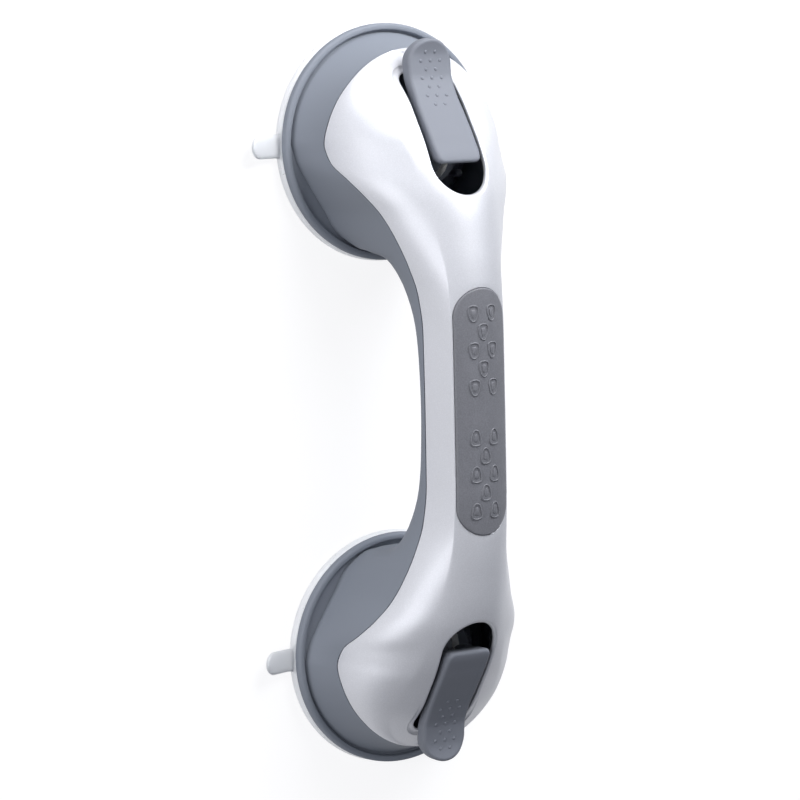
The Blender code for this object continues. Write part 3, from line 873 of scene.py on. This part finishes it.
def pad_recess(depth, inside):
    """Rounded edge, wall and floor of the pad's recess, and the inner skin under it."""
    rows = []
    for angle in spread(0, math.pi / 2, 4):
        loop = pad_loop(RECESS_GAP + RECESS_ROUND * (1 - math.sin(angle)))
        rows.append(on_crown(loop, [RECESS_ROUND * (1 - math.cos(angle))] * len(loop)))
    rows.append(on_crown(loop, [depth] * len(loop)))
    shape = Shape().grid(rows)

    def floor_row(row):
        return on_crown(row, [depth] * len(row))

    def under_row(row):
        return [inside(u, y / ridge_half(u)) for u, y in row]

    for outline, lay in ((loop, floor_row), (pad_loop(RECESS_GAP + RECESS_ROUND), under_row)):
        fill = []
        for (u, y), (_, other) in zip(outline[: len(outline) // 2 + 1], outline[::-1]):
            fill.append(lay([(u, across) for across in spread(y, other, 12)]))
        shape.grid(fill)
    return shape


def cover_half(s):
    """Half of the cover, from the bar's middle to the nose of end a."""
    near, far = SLOT_BORDERS
    hole = slot_loop(lambda u: RIM_WALL + bowl(u, s["bowl_reach"]))
    recess = pad_loop(RECESS_GAP + RECESS_ROUND)

    def outside(u, q):
        return cover_point(u, q, s["seam"])

    def inside(u, q):
        return cover_inside(u, q, s["seam"], s["cover_wall"])

    fields = [
        (ring_rows(recess, pad_frame(), spread(0, 1, 5)), False),
        (ring_rows(hole, slot_frame(), (0, 0.06, 0.16, 0.3, 0.46, 0.64, 0.82, 1)), True),
    ]
    for places in (spread(PAD_BORDER, near, BAND_STEPS), nose_places(far, NOSE, BAND_STEPS)):
        fields.append(([[(u, w) for w in spread(-1, 1, CROWN_COLUMNS)] for u in places], False))
    for side in (1, -1):
        fields.append(([[(u, side * (1 + row)) for row in SIDE_ROWS] for u in strip_places()], False))
    shape = Shape()
    for skin in (outside, inside):
        for rows, closed in fields:
            shape.grid([[skin(u, q) for u, q in row] for row in rows], closed)
    for edge in (2, -2):
        shape.grid([[outside(u, edge), inside(u, edge)] for u in strip_places()])
    return shape.add(slot_mouth(s, hole, inside)).add(pad_recess(s["recess"], inside))


class GRABBAR_OT_cover(bpy.types.Operator):
    """Silver cover: crowned shell with two lever slots, finger bowls and the pad's recess"""

    bl_idname = "grabbar.cover"
    bl_label = "Silver cover"

    def execute(self, context):
        half = cover_half(sizes())
        shape = half.add(half.moved(sign=-1))
        made = millimetre_mesh("silver_cover", shape, pearl_paint(colour("cover")), 32.0)
        place_piece(made, "bar", "silver_paint", "top_cover")
        return {"FINISHED"}


# ---------------------------------------------------------------- housing


WALL_POWER = (2.6, 1.2)  # section of the wall under the hand bar, and at a pod
POWER_X = (60, 80)
HAND_X = (56, 68)
NECK_X = (54, 56, 57.5, 58.5, 59.3, 59.7, 60, 60.3, 60.8, 61.5, 62.3, 63.3, 64.5, 66, 68, 70.5)
LIP_R = 1.3
GROOVE_EDGE = 0.7
GROOVE_DEPTH = 1.9


def housing_point(x, share, seam):
    """Outside of the housing: share runs from 0 at the seam to 1 at the foot or the underside."""
    top_y, top_z = parting_half(x), seam_height(x) - seam / 2
    low_y, low_z = foot_half(x), interpolate(UNDER_X, UNDER_Z, x)
    power = WALL_POWER[0] + (WALL_POWER[1] - WALL_POWER[0]) * share_of(x, POWER_X)
    hand = 1 - share_of(x, HAND_X)
    fall = share + (math.sin(math.pi / 2 * share) - share) * hand
    inward = max(0.0, 1 - fall**power) ** (1 / power)
    return (x, low_y + (top_y - low_y) * inward, top_z - (top_z - low_z) * fall)


def housing_nose(shares, seam):
    """Rows of the pod's round wall, from POD_START on one side round to the other."""
    rows = []
    for share in shares:
        inward = max(0.0, 1 - share ** WALL_POWER[1]) ** (1 / WALL_POWER[1])
        radius = FOOT_R - (FOOT_R - POD_R) * inward
        reach = math.acos((POD_START - POD_X) / radius)
        row = []
        for angle in spread(-reach, reach, 72):
            top = seam_height(POD_X + POD_R * math.cos(angle)) - seam / 2
            height = top - (top - FOOT_Z) * share
            row.append((POD_X + radius * math.cos(angle), radius * math.sin(angle), height))
        rows.append(row)
    return rows


def stem_reach(angle, grow=0.0):
    """Distance from the cup's axis to the wall of the stem's oblong hole."""
    half, radius = STEM_HALF[0], STEM_HALF[1] + GAP + grow
    across, along = abs(math.sin(angle)), abs(math.cos(angle))
    if radius * along <= half * across:
        return radius / across
    return half * along + math.sqrt(radius**2 - (half * across) ** 2)


def hat_profile():
    """Section of the flange with its rolled lip and groove, the raised deck and the tower."""
    lip, groove = FLANGE_R - LIP_R, LIP_Z - GROOVE_DEPTH
    inner = FLANGE_R - 2.0
    deck = DECK_Z + DECK_T
    return (
        [(34, FLANGE_Z), (FLANGE_R - 0.4, FLANGE_Z), (FLANGE_R, FLANGE_Z + 0.4)]
        + arc((lip, LIP_Z - LIP_R), LIP_R, 0, 90, 8)
        + arc((inner, LIP_Z - GROOVE_EDGE), GROOVE_EDGE, 90, 180, 5)
        + [(inner - GROOVE_EDGE, groove + 0.3), (inner - 1.0, groove), (36, groove)]
        + [(DECK_R + 1.6, deck - 0.3), (DECK_R + 1, deck)]
        + [(TOWER_R + 0.8, deck), (TOWER_R, deck + 0.8)]
        + [(TOWER_R, TOWER_Z - 0.6), (TOWER_R - 0.6, TOWER_Z)]
        + [(lambda a: stem_reach(a, 0.4), TOWER_Z), (stem_reach, TOWER_Z - 0.4)]
        + [(stem_reach, DECK_Z), (DECK_R, DECK_Z), (34, FLANGE_Z)]
    )


class GRABBAR_OT_housing(bpy.types.Operator):
    """Lower housing: hand bar underside, the flared pod walls and the flanges with their decks"""

    bl_idname = "grabbar.housing"
    bl_label = "Lower housing"

    def execute(self, context):
        s = sizes()
        seam = s["seam"]
        places = [*spread(0, 52, 13), *NECK_X, *spread(73.5, POD_START, 14)]
        shares = spread(0, 1, 26)
        quarter = Shape().grid([[housing_point(x, share, seam) for share in shares] for x in places])
        half = Shape().add(quarter).add(quarter.moved(mirror_y=True)).grid(housing_nose(shares, seam))
        skin = half.add(half.moved(sign=-1))
        plastic = moulded_plastic("housing_plastic", colour("housing"), 0.42)
        made = millimetre_mesh("grey_housing", skin, plastic, 50.0)
        face_out(made)
        wall = made.modifiers.new("wall", "SOLIDIFY")
        wall.thickness = s["housing_wall"] * MM
        wall.offset = -1
        wall.use_quality_normals = True
        as_plain_mesh(made)
        steps = context.scene.grab_bar_sizes.ring_steps
        flanges = Shape()
        for sign, _ in ENDS:
            flanges.turned(hat_profile(), steps, (sign * POD_X, 0))
        ring = millimetre_mesh("grey_flanges", flanges, plastic, 45.0)
        join(made, ring)
        made.data.shade_smooth()
        made.data.set_sharp_from_angle(angle=math.radians(42))
        place_piece(made, "bar", "housing_plastic", "lower_housing")
        return {"FINISHED"}


def face_out(made):
    """Turn an open skin so that its faces look away from its middle."""
    mesh = made.data
    middle = sum((v.co for v in mesh.vertices), Vector()) / len(mesh.vertices)
    outward = sum((p.center - middle).dot(p.normal) * p.area for p in mesh.polygons)
    if outward < 0:
        mesh.flip_normals()


def join(made, other):
    """Put a second closed shape in a piece's mesh."""
    work = bmesh.new()
    work.from_mesh(made.data)
    work.from_mesh(other.data)
    work.to_mesh(made.data)
    work.free()
    bpy.data.objects.remove(other)


# ---------------------------------------------------------------- levers


DOTS_IN_ROW = (2, 3, 2, 3, 2, 3, 2)
DOT_START = 15.6
DOT_PITCH = (3.35, 4.4)
LEVER_CORNER = 2.8


def lever_top(x):
    """Height of the lever's top face."""
    return interpolate(LEVER_X, LEVER_TOP, x)


def lever_half(x):
    """Half width of the lever short of its round tab."""
    return interpolate(LEVER_X[:-1], LEVER_Y[:-1], x)


def lever_loop():
    """Plan of the lever from the middle of its cam end round the +Y side: points and outward normals."""
    tab = LEVER_Y[-2]
    start, centre = LEVER_X[0], LEVER_X[-1] - tab
    turn = (start + LEVER_CORNER, lever_half(start) - LEVER_CORNER)
    path = [(start, y) for y in spread(0, turn[1], 5)[:-1]]
    path += arc(turn, LEVER_CORNER, 180, 90, 7)
    path += [(x, lever_half(x)) for x in spread(turn[0], centre, 46)[1:-1]]
    path += arc((centre, 0), tab, 90, 0, 22)
    path += [(x, -y) for x, y in path[-2:0:-1]]
    normals = []
    for i in range(len(path)):
        back, ahead = path[i - 1], path[(i + 1) % len(path)]
        normals.append(Vector((back[1] - ahead[1], ahead[0] - back[0])).normalized())
    return path, normals


def cam_outline():
    """Ear of the lever from the side: the envelope of a flat plate at a reach that falls with the swing."""
    slope = CAM_DROP / SWING
    points = []
    for angle in spread(0, SWING, 24):
        reach = CAM_H - slope * angle
        normal = Vector((-math.sin(angle), -math.cos(angle)))
        along = Vector((-math.cos(angle), math.sin(angle)))
        points.append(tuple(reach * normal - slope * along))
    heel = (points[0][0] + 2.0, points[0][1])
    return [(8.0, 1.0), (6.8, -7.5), heel] + points + [(LEVER_X[0] + 0.9, LEVER_TOP[0] - 2.5), (1.0, 6.5)]


def lever_shape(s):
    """Lever of end a about its pin: rounded plate, skirt and two cam ears."""
    path, normals = lever_loop()
    soft, skirt_t, plate = s["lever_round"], s["lever_skirt"], s["lever_plate"]

    def depth(x):
        return SKIRT_DEPTH[0] + clamp(x / LEVER_X[4]) * (SKIRT_DEPTH[1] - SKIRT_DEPTH[0])

    def row(inset, drop):
        made = []
        for (x, y), normal in zip(path, normals):
            px, py = x - normal.x * inset, y - normal.y * inset
            made.append((px, py, lever_top(px) - (drop(px) if callable(drop) else drop)))
        return made

    rows = [row(soft * (1 - math.sin(a)), soft * (1 - math.cos(a))) for a in spread(0, math.pi / 2, 7)]
    rows += [row(0, lambda x: soft + (depth(x) - soft - 0.4) * 0.5), row(0, lambda x: depth(x) - 0.4)]
    rows += [row(0.12, lambda x: depth(x) - 0.12), row(0.4, depth)]
    rows += [row(skirt_t - 0.3, depth), row(skirt_t, lambda x: depth(x) - 0.3), row(skirt_t, plate)]
    shape = Shape().grid(rows, closed=True)
    shape.across(rows[0], lambda x, y: lever_top(x), 14)
    shape.across(rows[-1], lambda x, y: lever_top(x) - plate, 8)
    for low, high in (EAR_Y, (-EAR_Y[1], -EAR_Y[0])):
        shape.add(block(cam_outline(), low, high, 0.3, "xz"))
    return shape


def dot_places():
    """Places of the grip dots on the lever of end a, about its pin, with the lever's slope there."""
    for i, count in enumerate(DOTS_IN_ROW):
        x = DOT_START + i * DOT_PITCH[0]
        slope = (lever_top(x + 0.2) - lever_top(x - 0.2)) / 0.4
        for j in range(count):
            yield x, DOT_PITCH[1] * (j - (count - 1) / 2), slope


def dot_tree(s, material):
    """Low round dots on their points."""
    nodes = GeometryNodes("grip_dots")
    nodes.number("Dot Radius", s["dot_radius"] * MM)
    nodes.number("Dot Height", s["dot_height"] * MM)
    nodes.start()
    ball = nodes.add("GeometryNodeMeshUVSphere", None, {"Segments": 20, "Rings": 12, "Radius": 1.0})
    sockets = {"X": nodes.read("Dot Radius"), "Y": nodes.read("Dot Radius"), "Z": nodes.read("Dot Height")}
    scale = nodes.add("ShaderNodeCombineXYZ", None, sockets)
    ball = nodes.add("GeometryNodeSetShadeSmooth", None, {"Geometry": ball, "Shade Smooth": True})
    nodes.close(ball, material, {"Scale": scale})
    return nodes


class GRABBAR_OT_levers(bpy.types.Operator):
    """Cam levers with their grip dots"""

    bl_idname = "grabbar.levers"
    bl_label = "Levers"

    def execute(self, context):
        s = sizes()
        plastic = moulded_plastic("lever_plastic", colour("lever"), 0.38)
        shape = lever_shape(s)
        for sign, end in ENDS:
            body = f"lever_{end}"
            placed = shape.moved(sign, sign * POD_X, PIN_Z)
            made = millimetre_mesh(f"cam_lever_{end}", placed, plastic, 38.0)
            place_piece(made, body, "lever_plastic", body)
            places = []
            for x, y, slope in dot_places():
                stand = Vector((-slope * sign, 0, 1)).normalized()
                places.append(((sign * (POD_X + x), y, PIN_Z + lever_top(x)), stand, (1, 0, 0)))
            dots = dot_tree(s, plastic).run_on(seed_points(f"grip_dots_{end}", places))
            place_piece(dots, body, "lever_plastic")
        return {"FINISHED"}


# ---------------------------------------------------------------- grip pad


DROP_START = 38.3
DROP_PITCH = 7.15
DROP_ROWS = 5
DROP_SIDE = 4.1
PAD_SINK = 1.2


def drop_places():
    """Places of the raised drops along the pad: pairs and singles in turn from each end."""
    for sign in (1, -1):
        for i in range(DROP_ROWS):
            x = sign * (DROP_START - DROP_PITCH * i)
            for y in ((-DROP_SIDE, DROP_SIDE) if i % 2 == 0 else (0.0,)):
                yield x, y, sign


def drop_tree(s, material):
    """Raised drop outlines with a smaller solid drop inside, wide end towards the heading."""
    nodes = GeometryNodes("raised_drops")
    nodes.number("Length", s["drop_length"] * MM)
    nodes.number("Width", s["drop_width"] * MM)
    nodes.number("Taper", 0.34)
    nodes.number("Squareness", 0.2)
    nodes.number("Ridge", s["drop_ridge"] * MM)
    nodes.start()
    loop = nodes.add("GeometryNodeCurvePrimitiveCircle", None, {"Resolution": 36, "Radius": 1.0})
    place = nodes.add("GeometryNodeInputPosition")
    along = nodes.add("ShaderNodeSeparateXYZ", None, {0: place}, "X")
    side = nodes.add("ShaderNodeSeparateXYZ", None, {0: place}, "Y")
    full = side * (1 + along * along * nodes.read("Squareness"))
    narrow = full * (1 + along * nodes.read("Taper")) * nodes.read("Width") * 0.5
    reach = along * (1 + side * side * nodes.read("Squareness")) * nodes.read("Length") * 0.5
    shaped = nodes.add("ShaderNodeCombineXYZ", None, {"X": reach, "Y": narrow})
    outline = nodes.add("GeometryNodeSetPosition", None, {"Geometry": loop, "Position": shaped})
    sockets = {"Resolution": 10, "Radius": nodes.read("Ridge")}
    section = nodes.add("GeometryNodeCurvePrimitiveCircle", None, sockets)
    ridge = nodes.add("GeometryNodeCurveToMesh", None, {"Curve": outline, "Profile Curve": section})
    ball = nodes.add("GeometryNodeMeshUVSphere", None, {"Segments": 28, "Rings": 10, "Radius": 1.0})
    up = nodes.add("ShaderNodeSeparateXYZ", None, {0: place}, "Z")
    sockets = {"X": reach * 0.56, "Y": narrow * 0.48, "Z": up * nodes.read("Ridge") * 0.8}
    inner = nodes.add("ShaderNodeCombineXYZ", None, sockets)
    inner = nodes.add("GeometryNodeSetPosition", None, {"Geometry": ball, "Position": inner})
    both = nodes.add("GeometryNodeJoinGeometry")
    nodes.tree.links.new(ridge.output, both.output.node.inputs[0])
    nodes.tree.links.new(inner.output, both.output.node.inputs[0])
    both = nodes.add("GeometryNodeSetShadeSmooth", None, {"Geometry": both, "Shade Smooth": True})
    nodes.close(both, material)
    return nodes


class GRABBAR_OT_pad(bpy.types.Operator):
    """Soft grip pad with raised drops"""

    bl_idname = "grabbar.pad"
    bl_label = "Grip pad"

    def execute(self, context):
        s = sizes()
        soft, rise = s["pad_round"], s["pad_rise"]

        def height(x, y, level):
            return crown_height(abs(x), y / ridge_half(abs(x))) + level

        def row(inset, level):
            loop = pad_loop(-inset)
            whole = loop + [(-x, y) for x, y in loop[-2:0:-1]]
            # start at the +X tip, so that the fill runs across the pad
            turn = len(loop) // 2
            whole = whole[turn:] + whole[:turn]
            return [(x, y, height(x, y, level)) for x, y in whole]

        rows = []
        for angle in spread(0, math.pi / 2, 6):
            rows.append(row(soft * (1 - math.sin(angle)), rise - soft * (1 - math.cos(angle))))
        rows += [row(0, 0.2 - PAD_SINK), row(0.2, -PAD_SINK)]
        shape = Shape().grid(rows, closed=True)
        shape.across(rows[0], lambda x, y: height(x, y, rise), 20)
        shape.across(rows[-1], lambda x, y: height(x, y, -PAD_SINK), 10)
        rubber = pad_rubber(colour("pad"))
        made = millimetre_mesh("soft_pad", shape, rubber, 40.0)
        place_piece(made, "bar", "pad_rubber", "grip_pad")
        places = []
        for x, y, sign in drop_places():
            slope = (height(x + 0.2, y, 0) - height(x - 0.2, y, 0)) / 0.4
            lean = (height(x, y + 0.2, 0) - height(x, y - 0.2, 0)) / 0.4
            stand = Vector((-slope, -lean, 1)).normalized()
            places.append(((x, y, height(x, y, rise)), stand, (sign, 0, 0)))
        drops = drop_tree(s, rubber).run_on(seed_points("pad_drops", places))
        place_piece(drops, "bar", "pad_rubber")
        return {"FINISHED"}


# ---------------------------------------------------------------- cups and plungers


SEAL_R = 41.0
RIM_INNER = 29.0
TAB_ROOT = CUP_R - 3
TAB_HALF = 4.6
TAB_LOW = 1.75
TAB_CURL = 4.6
TAB_THICK = (1.15, 0.4)  # half thickness at the root, and what the tip adds


def squared(value, power):
    """Sine or cosine made squarer, with its sign kept."""
    return math.copysign(abs(value) ** power, value)


def pull_tab():
    """Tab towards -Y from the cup's rim: a flat tongue that curls up and ends thick and round."""
    length = TAB_TIP - TAB_ROOT
    rows = []
    for share in spread(0, 1, 26):
        run = length * (math.sin(math.pi / 2 * share) if share > 0.5 else share * 1.4142)
        rise = TAB_LOW + TAB_CURL * (run / length) ** 2
        blunt = math.sqrt(max(0.0, 1 - max(0.0, (run - length + TAB_HALF) / TAB_HALF) ** 2))
        neck = 1 + 0.35 * (1 - clamp(run / 5)) ** 2
        thick = (TAB_THICK[0] + TAB_THICK[1] * ease(run / length)) * blunt**0.6
        ring = []
        for a in spread(0, 2 * math.pi, 24)[:-1]:
            across = squared(math.cos(a), 0.7) * TAB_HALF * neck * blunt
            ring.append((across, -TAB_ROOT - run, rise + squared(math.sin(a), 0.8) * thick))
        rows.append(ring)
    return Shape().grid(rows, closed=True).cap(rows[0])


class GRABBAR_OT_cups(bpy.types.Operator):
    """Suction cups: a sealing rim with its pull tab, and the middle that the plunger draws up"""

    bl_idname = "grabbar.cups"
    bl_label = "Suction cups"

    def execute(self, context):
        steps = context.scene.grab_bar_sizes.ring_steps
        tpe = soft_tpe(colour("cup"))
        rim = [(RIM_INNER, 1.8), (34, 0.8), (38, 0.25), (SEAL_R, 0.0), (42.35, 0.0), (44.35, 0.0)]
        rim += arc((CUP_R - 0.9, 0.9), 0.9, -90, 20, 6)
        rim += [(CUP_R - 0.25, 2.4), (CUP_R - 0.8, 3.3), (CUP_R - 1.8, 3.7), (34, 3.7)]
        rim += [(RIM_INNER, 4.9), (RIM_INNER, 1.8)]
        middle = [(0, 5.0), (8, 4.9), (14, 4.6), (22, 3.1), (29.3, 1.9), (29.3, 4.7)]
        middle += [(27, 5.6), (22.5, 7.2), (18, 8.2), (0, 8.2)]
        for sign, end in ENDS:
            shape = Shape().turned(rim, steps, (sign * POD_X, 0)).add(pull_tab().moved(1, sign * POD_X))
            made = millimetre_mesh(f"cup_rim_{end}", shape, tpe, 50.0)
            place_piece(made, "bar", "cup_tpe", f"suction_cup_{end}")
            shape = Shape().turned(middle, steps, (sign * POD_X, 0))
            made = millimetre_mesh(f"cup_middle_{end}", shape, tpe, 50.0)
            place_piece(made, "bar", "cup_tpe")
            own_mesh(made)
        return {"FINISHED"}


class GRABBAR_OT_plungers(bpy.types.Operator):
    """Clear plungers: disc, oblong stem and the blade that holds the lever's pin"""

    bl_idname = "grabbar.plungers"
    bl_label = "Plungers"

    def execute(self, context):
        clear = clear_plastic(colour("plunger"))
        disc = [(0, DISC_Z), (DISC_R - 0.4, DISC_Z), (DISC_R, DISC_Z + 0.4)]
        disc += [(DISC_R, DISC_Z + DISC_T - 0.6), (DISC_R - 0.6, DISC_Z + DISC_T), (0, DISC_Z + DISC_T)]
        half, radius = STEM_HALF
        outline = arc((half, 0), radius, -90, 90, 24) + arc((-half, 0), radius, 90, 270, 24)
        crest = arc((0, PIN_Z), BLADE_HALF[0], 0, 180, 28)
        blade = [(BLADE_HALF[0], STEM_TOP - 2)] + crest + [(-BLADE_HALF[0], STEM_TOP - 2)]
        for sign, end in ENDS:
            shape = Shape().turned(disc, 96)
            shape.add(block(outline, DISC_Z + 1, STEM_TOP, 0.6))
            shape.add(block(blade, -BLADE_HALF[1], BLADE_HALF[1], 0.5, "xz"))
            made = millimetre_mesh(f"draw_stem_{end}", shape.moved(1, sign * POD_X), clear, 40.0)
            place_piece(made, f"plunger_{end}", "clear_plastic", f"plunger_{end}")
        return {"FINISHED"}


class GRABBAR_OT_fittings(bpy.types.Operator):
    """Finishes of the pins, thrust plates and screws"""

    bl_idname = "grabbar.fittings"
    bl_label = "Pins, plates and screws"

    def execute(self, context):
        finishes = {
            "lever_pin": metal("ground_steel", (0.62, 0.62, 0.63), 0.24, (1, 0.05, 1)),
            "housing_screw": metal("zinc_steel", (0.56, 0.57, 0.60), 0.34, (1, 1, 0.2)),
            "thrust_plate": moulded_plastic("natural_acetal", (0.80, 0.80, 0.77), 0.36),
        }
        for name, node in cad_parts.items():
            for start, finish in finishes.items():
                if name.startswith(start):
                    node.data.materials.clear()
                    node.data.materials.append(finish)
        return {"FINISHED"}


# ---------------------------------------------------------------- stage

FLOOR_HALF = 3.0
LIGHT_AIM = Vector((0, 0, 0.04))
AIM = Vector((-3.9, BODY_Y - 20.5, 45.0)) * MM
CAMERA_FAR = 1256.8 * MM
CAMERA_TURN = math.radians(-12.96)
CAMERA_HIGH = math.radians(57.49)
CAMERA_ROLL = math.radians(99.68)
LENS = 145.4


def soft_light(name, place, width, strength, tone):
    """Round area light that faces the bar."""
    lamp = bpy.data.lights.new(name, "AREA")
    lamp.shape = "DISK"
    lamp.size = width
    lamp.energy = strength
    lamp.color = tone
    made = bpy.data.objects.new(name, lamp)
    made.location = place
    made.rotation_euler = (LIGHT_AIM - Vector(place)).to_track_quat("-Z", "Y").to_euler()
    bpy.context.scene.collection.objects.link(made)


def studio_sky():
    """Pale light from above that falls off towards the floor."""
    world = bpy.data.worlds.new("studio_sky")
    world.use_nodes = True
    tree = world.node_tree
    tree.nodes.clear()
    nodes = Nodes(tree)
    where = nodes.add("ShaderNodeTexCoord", output="Generated")
    height = nodes.add("ShaderNodeSeparateXYZ", None, {0: where}, "Z")
    tone = nodes.mix(nodes.band(height, -0.2, 0.9), (0.10, 0.105, 0.125, 1), (0.50, 0.52, 0.57, 1))
    sky = nodes.add("ShaderNodeBackground", None, {"Color": tone, "Strength": 0.56})
    nodes.add("ShaderNodeOutputWorld", None, {"Surface": sky})
    return world


class GRABBAR_OT_stage(bpy.types.Operator):
    """Pale floor, soft studio light and the camera"""

    bl_idname = "grabbar.stage"
    bl_label = "Stage"

    def execute(self, context):
        scene = context.scene
        mesh = bpy.data.meshes.new("studio_floor")
        corners = [(x * FLOOR_HALF, y * FLOOR_HALF, 0) for x, y in ((-1, -1), (1, -1), (1, 1), (-1, 1))]
        mesh.from_pydata(corners, [], [(0, 1, 2, 3)])
        mesh.materials.append(studio_floor(colour("floor")))
        floor = bpy.data.objects.new("studio_floor", mesh)
        scene.collection.objects.link(floor)
        floor.visible_diffuse = False
        scene.world = studio_sky()
        soft_light("key", (-0.46, 0.12, 0.38), 0.34, 3.1, (1.0, 0.99, 0.975))
        soft_light("side", (0.05, -1.00, 0.32), 1.1, 8.0, (0.98, 0.985, 1.0))
        soft_light("sheen", (-0.68, 0.50, 0.52), 0.5, 5.0, (0.90, 0.94, 1.0))
        soft_light("low", (-0.78, -0.42, 0.10), 0.36, 3.2, (0.94, 0.96, 1.0))
        scene.view_settings.view_transform = "Standard"
        lens = bpy.data.cameras.new("camera")
        lens.lens = LENS
        lens.sensor_width = 36
        camera = bpy.data.objects.new("camera", lens)
        flat = math.cos(CAMERA_HIGH)
        back = Vector((math.sin(CAMERA_TURN) * flat, -math.cos(CAMERA_TURN) * flat, math.sin(CAMERA_HIGH)))
        camera.location = AIM + back * CAMERA_FAR
        turn = (-back).to_track_quat("-Z", "Y").to_matrix().to_4x4()
        camera.rotation_euler = (turn @ Matrix.Rotation(CAMERA_ROLL, 4, "Z")).to_euler()
        scene.collection.objects.link(camera)
        scene.camera = camera
        return {"FINISHED"}


class GRABBAR_PT_panel(bpy.types.Panel):
    """Lists the pieces, their sizes and their colours"""

    bl_idname = "GRABBAR_PT_panel"
    bl_label = "Grab Bar"
    bl_space_type = "VIEW_3D"
    bl_region_type = "UI"
    bl_category = "Grab Bar"

    def draw(self, context):
        for operator in OPERATORS:
            self.layout.operator(operator.bl_idname)
        for group in (context.scene.grab_bar_sizes, context.scene.grab_bar_colours):
            column = self.layout.column()
            for name in group.__annotations__:
                column.prop(group, name)


OPERATORS = (
    GRABBAR_OT_stage,
    GRABBAR_OT_cover,
    GRABBAR_OT_housing,
    GRABBAR_OT_levers,
    GRABBAR_OT_pad,
    GRABBAR_OT_cups,
    GRABBAR_OT_plungers,
    GRABBAR_OT_fittings,
)
GROUPS = (GrabBarSizes, GrabBarColours)


def register():
    for item in (*GROUPS, *OPERATORS, GRABBAR_PT_panel):
        bpy.utils.register_class(item)
    bpy.types.Scene.grab_bar_sizes = PointerProperty(type=GrabBarSizes)
    bpy.types.Scene.grab_bar_colours = PointerProperty(type=GrabBarColours)


def unregister():
    del bpy.types.Scene.grab_bar_colours
    del bpy.types.Scene.grab_bar_sizes
    for item in (GRABBAR_PT_panel, *OPERATORS[::-1], *GROUPS[::-1]):
        bpy.utils.unregister_class(item)


def main():
    register()
    for operator in OPERATORS:
        section, name = operator.bl_idname.split(".")
        getattr(getattr(bpy.ops, section), name)()


if __name__ == "__main__":
    main()
